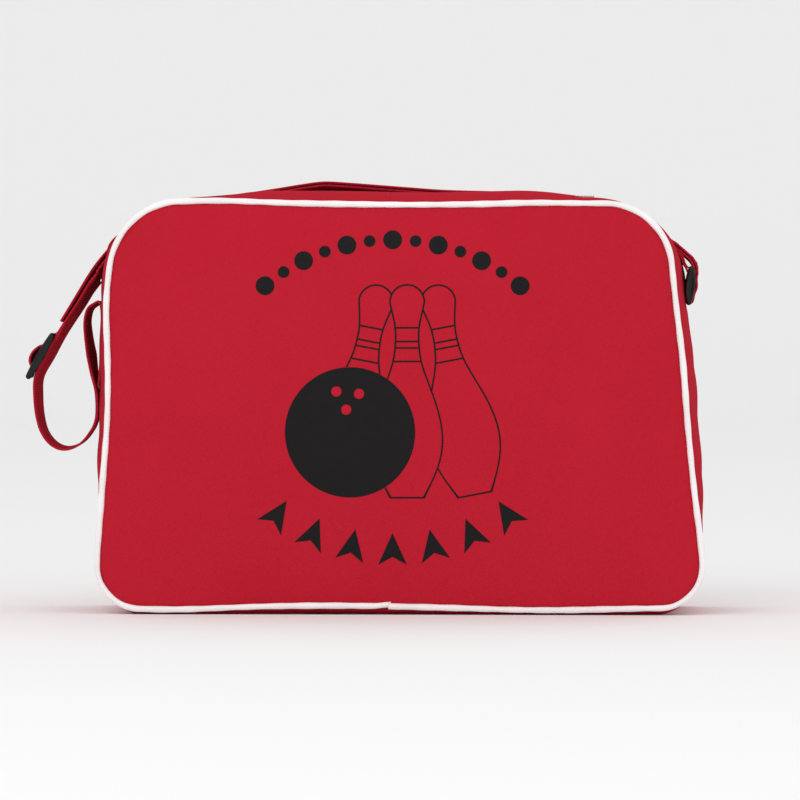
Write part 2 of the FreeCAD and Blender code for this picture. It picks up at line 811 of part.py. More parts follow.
def by_glide(up, out):
    """A station given by its distances up the strap and outwards from the tri-glide's middle."""
    place = GLIDE + UPWARD * up + OUTWARD * out
    return (place.x, 0.0, place.z)


# The pair's centre line over the top, from the left side to the right side.
LEFT_CORNER = [(-201.0, 4.0, 233.4), (-194.8, 11.0, 243.3), (-188.2, 19.0, 252.4)]
LEFT_CORNER += [(-180.9, 26.0, 261.9), (-171.0, 30.0, 269.6), (-159.5, 31.0, 274.6)]
LEFT_TOP = [(-146.0, 32.0, 278.2), (-130.0, 33.0, 280.4)]
TOP_LINE = [(-112.0, 33.0, 281.2), (-82.0, 33.0, 283.2), (-53.0, 33.0, 285.2), (-20.0, 33.0, 284.0)]
TOP_LINE += [(20.0, 33.0, 282.2), (60.0, 33.0, 281.4), (98.0, 33.0, 281.0)]
RIGHT_TOP = [(116.0, 33.0, 280.8), (132.0, 32.0, 278.8)]
RIGHT_CORNER = [(147.5, 31.0, 274.8), (159.0, 30.0, 269.8), (168.9, 27.0, 262.2)]
RIGHT_CORNER += [(177.4, 21.0, 253.0), (186.6, 10.0, 242.8)]
RIGHT_FALL = [(193.8, 3.0, 235.6), (198.6, 0.0, 230.4), (199.5, 0.0, 225.5), (199.4, 0.0, 221.9)]
RUNNING_OFFSET = -4.9
OUTER_OFFSET = -2.8
SLIDE_REACH = 64.0
SEWN_END_REACH = 26.0


def make_left_strap():
    """Left side: sewn anchor, free loop with the running layer, outer layer and corner pair."""
    patch = [(-205.0, 0.0, 168.0), (-204.2, 0.0, 186.0), (-203.2, 0.0, 200.0)]
    fold = [(-203.4, 0.0, 205.6), (-205.0, 0.0, 207.4)]
    add_shape("strap_anchor_left", ribbon(patch + fold))
    loop = [(-207.0, 0.0, 206.6), (-208.2, 0.0, 202.0), (-208.6, 0.0, 192.0), (-208.4, 0.0, 176.0)]
    loop += [(-207.4, 0.0, 160.0), (-207.2, 0.0, 146.0), (-208.4, 0.0, 133.0)]
    loop += [(-211.6, 0.0, 121.6), (-217.4, 0.0, 113.4), (-225.0, 0.0, 109.8)]
    loop += [(-233.4, 0.0, 112.6), (-239.8, 0.0, 121.4), (-243.4, 0.0, 133.0)]
    loop += [(-244.6, 0.0, 144.0), by_glide(-13.5, RUNNING_OFFSET)]
    add_shape("strap_loop", ribbon(loop + [by_glide(SLIDE_REACH, RUNNING_OFFSET)]))
    start = by_glide(SEWN_END_REACH + GAP, OUTER_OFFSET)
    add_shape("strap_outer_left", ribbon([start, by_glide(SLIDE_REACH, OUTER_OFFSET)]))
    middle = by_glide(SLIDE_REACH, (RUNNING_OFFSET + OUTER_OFFSET) / 2)
    add_pair("strap_corner_left", [middle] + LEFT_CORNER + LEFT_TOP + [TOP_LINE[0]], 1, GAP, GAP)


def shorten(stations, start, end):
    """The same stations with the first and last moved inwards along their runs."""
    line = [Vector(*place) for place in stations]
    if start:
        line[0] = line[0] + (line[1] - line[0]).normalize() * start
    if end:
        line[-1] = line[-1] + (line[-2] - line[-1]).normalize() * end
    return [(place.x, place.y, place.z) for place in line]


def add_pair(name, stations, way, end_gap=0.0, start_gap=0.0):
    """Two layers of webbing side by side, as two solids in one piece."""
    line = shorten(stations, start_gap, end_gap)
    layers = [ribbon(line, way * offset) for offset in (LAYERS / 2, -LAYERS / 2)]
    add_shape(name, Part.makeCompound(layers))


def make_top_strap():
    """The pair over the rear top strip, which moves with that strip."""
    add_pair("strap_top", TOP_LINE, 1)


def make_right_strap():
    """Right side: the corner pair, the fall to the ring and the wrap round its lower bar."""
    corner = [TOP_LINE[-1]] + RIGHT_TOP + RIGHT_CORNER
    add_pair("strap_corner_right", corner, 1, 0.0, GAP)
    add_pair("strap_fall_right", [RIGHT_CORNER[-1]] + RIGHT_FALL, 1, 0.0, GAP)
    make_ring_wrap()


def make_ring_wrap():
    """The webbing round the ring's lower bar: down outside, under, and back up through the ring."""
    x, z = size("ring_x"), size("ring_z")
    bar = z - (size("ring_height") - size("ring_bar")) / 2
    hold = size("webbing_thickness") / 2 + 2 * size("seam_play")
    side = size("ring_thickness") / 2 + hold
    under = size("ring_bar") / 2 + hold
    end_x, end_z = RIGHT_FALL[-1][0], RIGHT_FALL[-1][2] - GAP
    wrap = [
        (end_x + LAYERS / 2, end_z),
        (end_x + LAYERS / 2 - 0.4, end_z - 4.0),
        (end_x + LAYERS / 2 - 1.4, end_z - 9.0),
        (x + side + 0.9, bar + 1.2),
        (x + side, bar - under * 0.55),
        (x + side * 0.5, bar - under),
        (x - side * 0.5, bar - under),
        (x - side, bar - under * 0.45),
        (x - side, bar + under * 0.55),
        (x - side * 0.3, bar + under + 0.2),
        (x + side * 0.75, bar + under + 1.6),
        (end_x - LAYERS / 2 - 0.8, end_z - 6.0),
        (end_x - LAYERS / 2, end_z),
    ]
    add_shape("strap_ring_wrap", ribbon([(place[0], 0.0, place[1]) for place in wrap]))


# the centre of the gusset's rounded upper right corner, at mid depth
TAB_BEND = Vector(108.0, 0, 193.0)


def make_ring_tab():
    """A folded webbing tab: sewn on the gusset above, it loops round the ring's upper bar."""
    x, z = size("ring_x"), size("ring_z")
    bar = Vector(x, 0, z + (size("ring_height") - size("ring_bar")) / 2)
    half = size("tab_thickness") / 2
    # the bar's corners sweep this circle as the ring swings
    sweep = math.hypot(size("ring_thickness"), size("ring_bar")) / 2
    hold = sweep + GAP + half
    radius = size("top_corner_radius") + size("top_corner_growth") + 1.0
    inner = [TAB_BEND + unit(angle) * (radius + half) for angle in (46, 40, 34, 28)]
    outer = [TAB_BEND + unit(angle) * (radius + 3.4 * half) for angle in (30, 36, 41, 46)]
    eye = [bar + unit(angle) * hold for angle in (218, 248, 278, 308, 338, 368, 392, 414)]
    line = [(place.x, 0.0, place.z) for place in inner]
    line += [(place.x, 0.0, place.z) for place in eye]
    line += [(place.x, 0.0, place.z) for place in outer]
    add_shape("strap_ring_tab", ribbon(line, 0.0, "tab_width", "tab_thickness"))


def make_tri_glide():
    """A three-bar adjuster with rounded edges, tilted along the strap."""
    body = new_body("strap_triglide")
    outline = centred_rectangle(
        body, "FrameOutline", "XY_Plane", "Sizes.glide_length", "Sizes.glide_width"
    )
    frame = pad(body, "Frame", outline, "Sizes.glide_thickness")
    frame = round_edges(body, "SoftEdges", frame, "Sizes.glide_round")
    for name, sign in (("Lower", "-1"), ("Upper", "1")):
        shift = (f"{sign} * (Sizes.glide_bar + Sizes.glide_slot_length) / 2", "0")
        slot = centred_rectangle(
            body, f"{name}SlotOutline", "XY_Plane", "Sizes.glide_slot_length",
            "Sizes.glide_slot_width", "0", shift,
        )
        pocket(body, f"{name}Slot", slot)
    turn = Rotation(Vector(0, 1, 0), -size("glide_tilt"))
    body.Placement = Placement(GLIDE, turn)


def make_glide_end():
    """The strap's own end, folded round the tri-glide's middle bar and sewn to itself."""
    bar = size("glide_bar") / 2
    over = size("glide_thickness") / 2 + size("webbing_thickness")
    under = -size("glide_thickness") / 2 - size("webbing_thickness")
    path = [
        (SEWN_END_REACH, OUTER_OFFSET),
        (16.0, under - 0.1),
        (11.5, under + 0.6),
        (bar + 3.0, over - 0.8),
        (0.0, over + 0.5),
        (-bar - 2.6, over - 1.4),
    ]
    stations = [by_glide(up, out) for up, out in path]
    add_shape("strap_sewn_end", ribbon(stations))


def make_ring():
    """A rectangular ring with rounded edges that stands on its long side."""
    body = new_body("strap_ring")
    outline = centred_rectangle(
        body, "RingOutline", "YZ_Plane", "Sizes.ring_width", "Sizes.ring_height"
    )
    plate = pad(body, "RingPlate", outline, "Sizes.ring_thickness")
    plate = round_edges(body, "RingEdges", plate, "Sizes.ring_round")
    opening = centred_rectangle(
        body, "RingOpening", "YZ_Plane", "Sizes.ring_slot_width",
        "Sizes.ring_height - 2 * Sizes.ring_bar",
    )
    pocket(body, "RingHole", opening)
    body.Placement = Placement(Vector(size("ring_x"), 0, size("ring_z")), Rotation())


# ---------------------------------------------------------------- build


def build():
    make_gusset()
    make_piping()
    make_binding()
    make_panels()
    make_print()
    make_base_board()
    make_pocket()
    make_zip_halves()
    make_zip_ends()
    make_zip_stops()
    make_slider()
    make_puller()
    make_left_strap()
    make_top_strap()
    make_right_strap()
    make_ring_tab()
    make_tri_glide()
    make_glide_end()
    make_ring()
    DOCUMENT.recompute()


def is_sub_part(item):
    """Sub-parts carry a lower-case label; sheets, sketches and features don't."""
    return hasattr(item, "Shape") and item.Label == item.Label.lower()


def export():
    """Check every object, then write each sub-part's shape."""
    for item in DOCUMENT.Objects:
        if "Invalid" in item.State or "Error" in item.State:
            raise RuntimeError(f"{item.Name}: {item.State}")
    parts = [item for item in DOCUMENT.Objects if is_sub_part(item)]
    for item in parts:
        if item.Shape.isNull() or not item.Shape.isValid():
            raise RuntimeError(f"{item.Label}: its shape is null or not valid")
    os.makedirs("parts", exist_ok=True)
    for item in parts:
        item.Shape.exportStep(f"parts/{item.Label}.step")
        solids = len(item.Shape.Solids)
        print(f"{item.Label}: {item.Shape.Volume:.1f} mm3 in {solids} solids")


build()
export()
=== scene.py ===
import math

import bmesh
import bpy
import numpy as np
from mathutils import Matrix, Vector


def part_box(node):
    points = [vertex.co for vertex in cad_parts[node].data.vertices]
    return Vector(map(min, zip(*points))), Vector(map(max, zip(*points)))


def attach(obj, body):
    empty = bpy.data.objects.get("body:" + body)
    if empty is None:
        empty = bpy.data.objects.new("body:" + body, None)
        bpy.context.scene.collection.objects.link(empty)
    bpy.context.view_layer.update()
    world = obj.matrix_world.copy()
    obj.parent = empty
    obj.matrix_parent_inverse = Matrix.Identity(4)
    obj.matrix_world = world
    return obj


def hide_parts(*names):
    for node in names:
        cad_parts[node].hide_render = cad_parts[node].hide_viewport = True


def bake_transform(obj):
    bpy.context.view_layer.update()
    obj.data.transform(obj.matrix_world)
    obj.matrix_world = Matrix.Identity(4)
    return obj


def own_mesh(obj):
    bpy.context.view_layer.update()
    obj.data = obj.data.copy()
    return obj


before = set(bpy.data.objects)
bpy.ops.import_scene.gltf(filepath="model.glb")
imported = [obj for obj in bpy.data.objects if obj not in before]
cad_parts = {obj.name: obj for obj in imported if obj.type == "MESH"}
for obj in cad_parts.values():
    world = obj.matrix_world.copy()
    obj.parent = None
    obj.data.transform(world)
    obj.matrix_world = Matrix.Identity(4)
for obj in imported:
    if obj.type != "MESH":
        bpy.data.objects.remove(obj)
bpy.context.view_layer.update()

# Shapes are worked out in millimetres and become metres in each mesh.
MM = 0.001

# Points along each half of the mouth: in its strips, its tapes and the lines that stitches follow.
STRIP_STEPS = 90
TAPE_STEPS = 80
SEAM_STEPS = 160


def box_mm(node):
    """A frame node's lowest and highest corner in millimetres."""
    low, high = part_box(node)
    return np.array(low) / MM, np.array(high) / MM


def middle_mm(node):
    """The middle of a frame node's box in millimetres."""
    low, high = box_mm(node)
    return (low + high) / 2


# ---- driving sizes, in mm

PIPING_LOW, PIPING_HIGH = box_mm("front_piping")
PIPING = 2.0
SEAM_DEPTH = -(PIPING_LOW[1] + PIPING_HIGH[1]) / 2
SEAM_LOW = PIPING_LOW[2] + PIPING
SEAM_HIGH = PIPING_HIGH[2] - PIPING
BASE_HALF = 201.5
TOP_HALF = 182.0
LEAN = -7.0
UPPER_RADIUS = 44.0
LOWER_RADIUS = 27.0
UPPER_GROWTH = 10.0
LOWER_GROWTH = 10.0
CLOTH = 1.2
LINING_CLOTH = 0.5
PANEL_INSET = 1.2
PANEL_CROWN = 8.0
LINING_INSET = 7.0
LINING_GAP = 2.9
POCKET_SAG = 2.2
FILM_THICKNESS = 0.08
FILM_LIFT = 0.14
FILM_EDGE = 5.0
ZIP_LEFT = box_mm("zip_open_stop")[0][0]
ZIP_RIGHT = box_mm("zip_closed_stops")[1][0]
ZIP_HEIGHT = middle_mm("zip_tape_front")[2]
JOINT_HEIGHT = box_mm("gusset_bottom")[1][2]
LIP_EDGE = 6.6
RING = middle_mm("strap_ring")
GLIDE = middle_mm("strap_triglide")
WEBBING = 38.0
WEBBING_THICKNESS = 1.5
TAPE_THICKNESS = 0.6
TAPE_GAP = 0.25


# ---- small numeric helpers


def ease(value):
    """Smooth step: 3t^2 - 2t^3 with t held between 0 and 1."""
    held = np.clip(value, 0.0, 1.0)
    return held * held * (3 - 2 * held)


def hump(value, middle, width):
    """Bell curve of height 1: exp(-((value - middle) / width)^2)."""
    return np.exp(-(((value - middle) / width) ** 2))


def travel_along(points):
    """Distance run along a line of points, from 0 at its start."""
    steps = np.linalg.norm(np.diff(points, axis=0), axis=1)
    return np.concatenate([[0.0], np.cumsum(steps)])


def smooth_line(stations, first, last, per=10):
    """Catmull-Rom curve through the stations, sampled between two station numbers.

    Between stations B and C with neighbours A and D it is
    B + t(C-A)/2 + t^2(A - 5B/2 + 2C - D/2) + t^3(3B - 3C + D - A)/2."""
    line = np.asarray(stations, float)
    line = np.vstack([2 * line[0] - line[1], line, 2 * line[-1] - line[-2]])
    count = max(2, int(round((last - first) * per)) + 1)
    where = np.linspace(first, last, count)
    cell = np.minimum(where.astype(int), len(stations) - 2)
    t = (where - cell)[:, None]
    a, b, c, d = (line[cell + step] for step in range(4))
    squared = a - 2.5 * b + 2 * c - d / 2
    cubed = (3 * b - 3 * c + d - a) / 2
    return b + t * (c - a) / 2 + t**2 * squared + t**3 * cubed


# ---- meshes from grids


def new_object(name, data):
    """An object in the scene, at the origin."""
    made = bpy.data.objects.new(name, data)
    bpy.context.scene.collection.objects.link(made)
    return made


def smooth_mesh(name, places, faces, smooth=True):
    """A mesh from places in mm and lists of corner numbers."""
    mesh = bpy.data.meshes.new(name)
    mesh.from_pydata((places.reshape(-1, 3) * MM).tolist(), [], faces)
    mesh.polygons.foreach_set("use_smooth", [smooth] * len(mesh.polygons))
    return mesh


def read_places(mesh):
    """A mesh's points as an (n, 3) array in mm."""
    places = np.empty(len(mesh.vertices) * 3)
    mesh.vertices.foreach_get("co", places)
    return places.reshape(-1, 3) / MM


def write_places(mesh, places):
    """Put points in mm back into their mesh."""
    mesh.vertices.foreach_set("co", (places * MM).ravel())
    mesh.update()


def merged_work(mesh, distance=0.01):
    """A working copy of a mesh with its doubled points merged."""
    work = bmesh.new()
    work.from_mesh(mesh)
    bmesh.ops.remove_doubles(work, verts=work.verts, dist=distance * MM)
    return work


def end_work(work, mesh):
    """Write a working copy to a mesh and let it go."""
    work.to_mesh(mesh)
    work.free()
    return mesh


def surface(name, grid, uv=None, wrap_rows=False, wrap_columns=False, flip=False):
    """A mesh with one quad between each four neighbours of a (rows, columns, 3) grid in mm."""
    rows, columns = grid.shape[:2]
    numbers = np.arange(rows * columns).reshape(rows, columns)
    if wrap_rows:
        numbers = np.vstack([numbers, numbers[:1]])
    if wrap_columns:
        numbers = np.hstack([numbers, numbers[:, :1]])
    corners = [numbers[:-1, :-1], numbers[:-1, 1:], numbers[1:, 1:], numbers[1:, :-1]]
    if flip:
        corners = corners[::-1]
    faces = np.stack([corner.ravel() for corner in corners], axis=1)
    mesh = smooth_mesh(name, grid, faces.tolist())
    if uv is not None:
        layer = mesh.uv_layers.new(name="UVMap")
        layer.data.foreach_set("uv", (uv.reshape(-1, 2)[faces.ravel()] * MM).ravel())
    return new_object(name, mesh)


def close_up(piece, distance=0.02):
    """Merge doubled points, fill open ends and turn every face outwards."""
    work = merged_work(piece.data, distance)
    open_edges = [edge for edge in work.edges if edge.is_boundary]
    if open_edges:
        bmesh.ops.holes_fill(work, edges=open_edges)
    bmesh.ops.recalc_face_normals(work, faces=work.faces)
    end_work(work, piece.data)
    return piece


def thicken(piece, thickness):
    """Give a sheet its thickness behind its outer face."""
    wall = piece.modifiers.new("Thickness", "SOLIDIFY")
    wall.thickness = thickness * MM
    wall.offset = -1.0
    return piece


def join_meshes(name, pieces):
    """One object from several, keeping their places and UV maps."""
    work = bmesh.new()
    for piece in pieces:
        work.from_mesh(piece.data)
    mesh = end_work(work, bpy.data.meshes.new(name))
    for piece in pieces:
        bpy.data.objects.remove(piece)
    return new_object(name, mesh)


def settle(piece, material, body=None, nodes=()):
    """Give a piece its material, the nodes that it stands for and its body."""
    piece.data.materials.clear()
    piece.data.materials.append(material)
    if nodes:
        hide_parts(*nodes)
    if body:
        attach(piece, body)
    return piece


# ---- materials


def tone(code, alpha=1.0):
    """An sRGB hex colour as linear red, green, blue and alpha."""
    parts = [int(code[index : index + 2], 16) / 255 for index in (1, 3, 5)]
    linear = [part / 12.92 if part <= 0.04045 else ((part + 0.055) / 1.055) ** 2.4 for part in parts]
    return (*linear, alpha)


def add(tree, kind, inputs=None, **settings):
    """Add a shader node: settings are its own properties, inputs are values or sockets to link."""
    made = tree.nodes.new("ShaderNode" + kind)
    for word, value in settings.items():
        setattr(made, word, value)
    for socket, value in (inputs or {}).items():
        if isinstance(value, bpy.types.NodeSocket):
            tree.links.new(value, made.inputs[socket])
        else:
            made.inputs[socket].default_value = value
    return made


def start_material(name, coordinates="Object"):
    """An empty node material, its tree, and the coordinates that its patterns follow."""
    material = bpy.data.materials.new(name)
    material.use_nodes = True
    tree = material.node_tree
    tree.nodes.clear()
    return material, tree, add(tree, "TexCoord").outputs[coordinates]


def close_material(tree, share, dark, light, roughness, height=None, strength=0.5, depth=0.1, **shader):
    """Principled shader from the dark tone to the light one by share, bumped by height, as output."""
    tones = {0: share, 6: tone(dark), 7: tone(light)}
    colour = add(tree, "Mix", tones, data_type="RGBA").outputs[2]
    inputs = {"Base Color": colour, "Roughness": roughness}
    inputs.update({word.replace("_", " "): value for word, value in shader.items()})
    if height is not None:
        bump = add(tree, "Bump", {"Height": height, "Strength": strength, "Distance": depth * MM})
        inputs["Normal"] = bump.outputs[0]
    principled = add(tree, "BsdfPrincipled", inputs)
    add(tree, "OutputMaterial", {"Surface": principled.outputs[0]})


def plain_weave(tree, where, pitch, axes=(0, 1)):
    """Over-and-under weave: sin(u/pitch) times sin(v/pitch), from -1 to 1, for a pitch in mm."""
    split = add(tree, "SeparateXYZ", {0: where})
    waves = []
    for axis in axes:
        scaled = {0: split.outputs[axis], 1: math.pi / (pitch * MM)}
        turned = add(tree, "Math", scaled, operation="MULTIPLY")
        waves.append(add(tree, "Math", {0: turned.outputs[0]}, operation="SINE").outputs[0])
    return add(tree, "Math", {0: waves[0], 1: waves[1]}, operation="MULTIPLY").outputs[0]


def woven_cloth(name, dark, light, pitch, where="Object", axes=(0, 2), sheen=0.02, roughness=0.9):
    """Yarn-dyed cloth: light and dark threads in a plain weave, cloudy with handling."""
    material, tree, place = start_material(name, where)
    weave = plain_weave(tree, place, pitch, axes)
    handling = {"Vector": place, "Scale": 14.0, "Detail": 3.0, "Roughness": 0.55}
    cloud = add(tree, "TexNoise", handling)
    slub = add(tree, "TexNoise", {"Vector": place, "Scale": 420.0, "Detail": 2.0})
    threads = add(tree, "Math", {0: weave, 1: 0.13, 2: 0.5}, operation="MULTIPLY_ADD")
    clouded = add(tree, "Math", {0: cloud.outputs[0], 1: 0.5, 2: -0.25}, operation="MULTIPLY_ADD")
    slubbed = add(tree, "Math", {0: slub.outputs[0], 1: 0.5, 2: -0.25}, operation="MULTIPLY_ADD")
    both = add(tree, "Math", {0: clouded.outputs[0], 1: slubbed.outputs[0]}, operation="ADD")
    parts = {0: threads.outputs[0], 1: both.outputs[0]}
    share = add(tree, "Math", parts, operation="ADD", use_clamp=True)
    height = add(tree, "Math", {0: weave, 1: slub.outputs[0]}, operation="ADD")
    close_material(
        tree, share.outputs[0], dark, light, roughness, height.outputs[0], 0.35, 0.12,
        Sheen_Weight=sheen, Sheen_Roughness=0.45, Specular_IOR_Level=0.0,
    )
    return material


def woven_polyester():
    """600-denier polyester for the panels: matt, with a faint sheen across the threads.

    The weave is drawn at 1.1 mm, about twice its real pitch, so that it shows."""
    return woven_cloth("woven_polyester", "#B31D2E", "#C22636", 1.1)


def gusset_polyester_shaded():
    """The same cloth on the gusset, whose weave follows the strip; its two tones are a little darker than
    the panels', painted shade.
    """
    return woven_cloth("gusset_polyester_shaded", "#AC1B2C", "#BD2435", 1.1, "UV", (0, 1))


def lining_nylon():
    """Thin 210-denier nylon, dark and slightly shiny."""
    return woven_cloth("lining_nylon", "#1B1B1F", "#2B2B30", 0.8, "UV", (0, 1), 0.03, 0.55)


def binding_cotton():
    """Twilled tape over the raw seam edges."""
    return woven_cloth("binding_cotton", "#151517", "#242428", 0.9, "UV", (0, 1), 0.03, 0.85)


def zip_tape_cloth():
    """Tightly woven polyester zip tape, dyed to match the bag."""
    return woven_cloth("zip_tape_cloth", "#9C1B28", "#B42434", 0.7, "UV", (0, 1), 0.03, 0.78)


def webbing_polypropylene():
    """Ribbed polypropylene webbing: cross ribs 1.7 mm apart, with long yarns between."""
    material, tree, place = start_material("webbing_polypropylene", "UV")
    split = add(tree, "SeparateXYZ", {0: place})
    ribs = {0: split.outputs[0], 1: 2 * math.pi / (1.7 * MM)}
    across = add(tree, "Math", ribs, operation="MULTIPLY")
    rib = add(tree, "Math", {0: across.outputs[0]}, operation="SINE")
    weave = plain_weave(tree, place, 0.85, (0, 1))
    grain = add(tree, "TexNoise", {"Vector": place, "Scale": 500.0, "Detail": 2.0})
    ribbed = add(tree, "Math", {0: rib.outputs[0], 1: 0.24, 2: 0.28}, operation="MULTIPLY_ADD")
    woven = add(tree, "Math", {0: weave, 1: 0.10, 2: ribbed.outputs[0]}, operation="MULTIPLY_ADD")
    share = add(
        tree, "Math", {0: grain.outputs[0], 1: 0.5, 2: woven.outputs[0]},
        operation="MULTIPLY_ADD", use_clamp=True,
    )
    close_material(
        tree, share.outputs[0], "#93152A", "#C62A3B", 0.9, share.outputs[0], 0.6, 0.3,
        Sheen_Weight=0.02, Sheen_Roughness=0.4, Specular_IOR_Level=0.0,
    )
    return material


def piping_vinyl():
    """White calendered vinyl over cord: satin, a little uneven where the stitching pulls."""
    material, tree, place = start_material("piping_vinyl")
    grain = add(tree, "TexNoise", {"Vector": place, "Scale": 900.0, "Detail": 2.0})
    soil = add(tree, "TexNoise", {"Vector": place, "Scale": 30.0, "Detail": 4.0})
    share = add(tree, "MapRange", {0: soil.outputs[0], 1: 0.35, 2: 0.75})
    close_material(
        tree, share.outputs[0], "#FBF8F8", "#EFE8E8", 0.42, grain.outputs[0], 0.25, 0.08,
        Specular_IOR_Level=0.45,
    )
    return material


def transfer_film():
    """Black heat-pressed film: nearly flat, taking a trace of the weave below."""
    material, tree, place = start_material("transfer_film")
    weave = plain_weave(tree, place, 1.1, (0, 2))
    mottle = add(tree, "TexNoise", {"Vector": place, "Scale": 260.0, "Detail": 3.0})
    trace = {0: weave, 1: 0.15, 2: mottle.outputs[0]}
    share = add(tree, "Math", trace, operation="MULTIPLY_ADD")
    close_material(
        tree, share.outputs[0], "#131112", "#191617", 0.62, share.outputs[0], 0.3, 0.08,
        Specular_IOR_Level=0.15,
    )
    return material


def polyethylene_board():
    """Grained polyethylene board: fine leathery grain, low gloss."""
    material, tree, place = start_material("polyethylene_board")
    grain = add(tree, "TexVoronoi", {"Vector": place, "Scale": 700.0})
    close_material(tree, grain.outputs[0], "#1C1C1E", "#2A2A2D", 0.5, grain.outputs[0], 0.4, 0.1)
    return material


def mottled(name, dark, light, scale, detail, gloss, relief=(), **shader):
    """Two close tones clouded by one noise, which also drives the gloss and the relief.

    gloss is one roughness, or the two that the noise moves between."""
    material, tree, place = start_material(name)
    noise = add(tree, "TexNoise", {"Vector": place, "Scale": scale, "Detail": detail})
    share = noise.outputs[0]
    if isinstance(gloss, tuple):
        gloss = add(tree, "MapRange", {0: share, 3: gloss[0], 4: gloss[1]}).outputs[0]
    close_material(tree, share, dark, light, gloss, share if relief else None, *relief, **shader)
    return material


def nylon_coil():
    """Nylon monofilament coil, dyed red: smooth and slightly glossy."""
    return mottled("nylon_coil", "#8E1622", "#A81D2C", 250.0, 2.0, 0.35, Specular_IOR_Level=0.5)


def nickel_plate():
    """Nickel on die-cast zinc: bright, with fine tumbling scratches."""
    gloss, relief = (0.18, 0.36), (0.1, 0.03)
    return mottled("nickel_plate", "#B9B6B0", "#D8D5CF", 1800.0, 4.0, gloss, relief, Metallic=1.0)


def black_acetal():
    """Injection-moulded acetal: deep black, glossy with a faint flow mottle."""
    gloss, relief = (0.2, 0.36), (0.05, 0.02)
    return mottled("black_acetal", "#060707", "#0D0F0F", 180.0, 3.0, gloss, relief, Specular_IOR_Level=0.3)


def sewing_thread():
    """Twisted polyester thread, a shade deeper than the cloth."""
    return mottled("sewing_thread", "#8A1522", "#B3263A", 1500.0, 2.0, 0.6, (0.3, 0.05))


POLYESTER = woven_polyester()
GUSSET_CLOTH_SHADED = gusset_polyester_shaded()
LINING = lining_nylon()
BINDING = binding_cotton()
TAPE = zip_tape_cloth()
WEB = webbing_polypropylene()
VINYL = piping_vinyl()
FILM = transfer_film()
BOARD = polyethylene_board()
COIL = nylon_coil()
NICKEL = nickel_plate()
ACETAL = black_acetal()
THREAD = sewing_thread()


# ---- the sewn outline


def edge_x(sign, height):
    """X of the straight side seams at a height: half width and lean both change evenly."""
    share = (height - SEAM_LOW) / (SEAM_HIGH - SEAM_LOW)
    return LEAN * share + sign * (BASE_HALF + (TOP_HALF - BASE_HALF) * share)


def rounded_outline(upper, lower, inset=0.0):
    """Side seams, base and top joined by tangent arcs: (n, 2) places and outward normals.

    It starts at the middle of the top and runs left, down, right and back up."""
    low, high = SEAM_LOW + inset, SEAM_HIGH - inset
    corners = [
        (edge_x(-1, high) + inset, high),
        (edge_x(-1, low) + inset, low),
        (edge_x(1, low) - inset, low),
        (edge_x(1, high) - inset, high),
    ]
    radii = [upper - inset, lower - inset, lower - inset, upper - inset]
    apexes = np.array(corners)
    top_middle = (apexes[0] + apexes[3]) / 2
    places, normals = [], []
    previous = top_middle
    for index, (apex, radius) in enumerate(zip(apexes, radii)):
        back = apexes[index - 1] - apex
        ahead = apexes[(index + 1) % 4] - apex
        back /= np.linalg.norm(back)
        ahead /= np.linalg.norm(ahead)
        half_angle = math.acos(np.clip(back @ ahead, -1, 1)) / 2
        reach = radius / math.tan(half_angle)
        centre = apex + (back + ahead) / np.linalg.norm(back + ahead) * radius / math.sin(half_angle)
        begin, end = apex + back * reach, apex + ahead * reach
        straight = np.linspace(previous, begin, 120)
        out = (begin - centre) / radius
        places.append(straight)
        normals.append(np.tile(out, (len(straight), 1)))
        first = math.atan2(*(begin - centre)[::-1])
        sweep = math.pi - 2 * half_angle
        angles = first + np.linspace(0, sweep, 42)[1:-1]
        arc = np.stack([np.cos(angles), np.sin(angles)], axis=1)
        places.append(centre + radius * arc)
        normals.append(arc)
        previous = end
    straight = np.linspace(previous, top_middle, 120)
    places.append(straight)
    normals.append(np.tile((0.0, 1.0), (len(straight), 1)))
    return np.vstack(places), np.vstack(normals)


def sway(x, y, z):
    """Uneven sewing: the outline wanders by a few bells, most at the seams, none at mid depth."""
    near = np.clip(np.abs(y) / SEAM_DEPTH, 0, 1) ** 2
    left = ease((-x - 60) / 110)
    right = ease((x - 60) / 110)
    top = ease((z - 190) / 70)
    low = ease((70 - z) / 60)
    shift_x = left * (-2.6 * hump(z, 208, 30) + 1.5 * hump(z, 129, 36) - 0.9 * hump(z, 38, 26))
    shift_x = shift_x + right * (1.0 * hump(z, 168, 30) + 1.1 * hump(z, 46, 26))
    front_rise = 1.8 * np.where(y < 0, hump(x, -125, 42), 0)
    shift_z = top * (front_rise - 0.9 * hump(x, 10, 60) + 0.5 * hump(x, 88, 26))
    shift_z = shift_z + low * (1.1 * hump(x, -45, 60) - 1.6 * hump(x, 96, 54) - 1.7 * hump(x, -152, 40))
    return x + near * shift_x, np.maximum(z + near * shift_z, 0.0)


def seam_path(inset, depth, upper=UPPER_RADIUS):
    """The swayed seam outline at a depth, as (n, 3) places and (n, 3) outward normals."""
    place, normal = rounded_outline(upper, LOWER_RADIUS, inset)
    keep = np.concatenate([[True], np.linalg.norm(np.diff(place, axis=0), axis=1) > 1e-6])
    place, normal = place[keep][:-1], normal[keep][:-1]
    x, z = sway(place[:, 0], np.full(len(place), depth), place[:, 1])
    flat = np.zeros(len(x))
    return np.stack([x, flat + depth, z], axis=1), np.stack([normal[:, 0], flat, normal[:, 1]], axis=1)


# ---- gusset and top strips


def side_bulge(x, z):
    """How far the side strips stand out: fuller with height, pressed in behind the ring."""
    left = 2.0 + 6.2 * ease(z / 140) + 1.8 * ease((z - 150) / 75)
    right = 2.0 + 6.6 * ease(z / 140) - 0.7 * ease((z - 198) / 6)
    return np.where(x > 0, right, left)


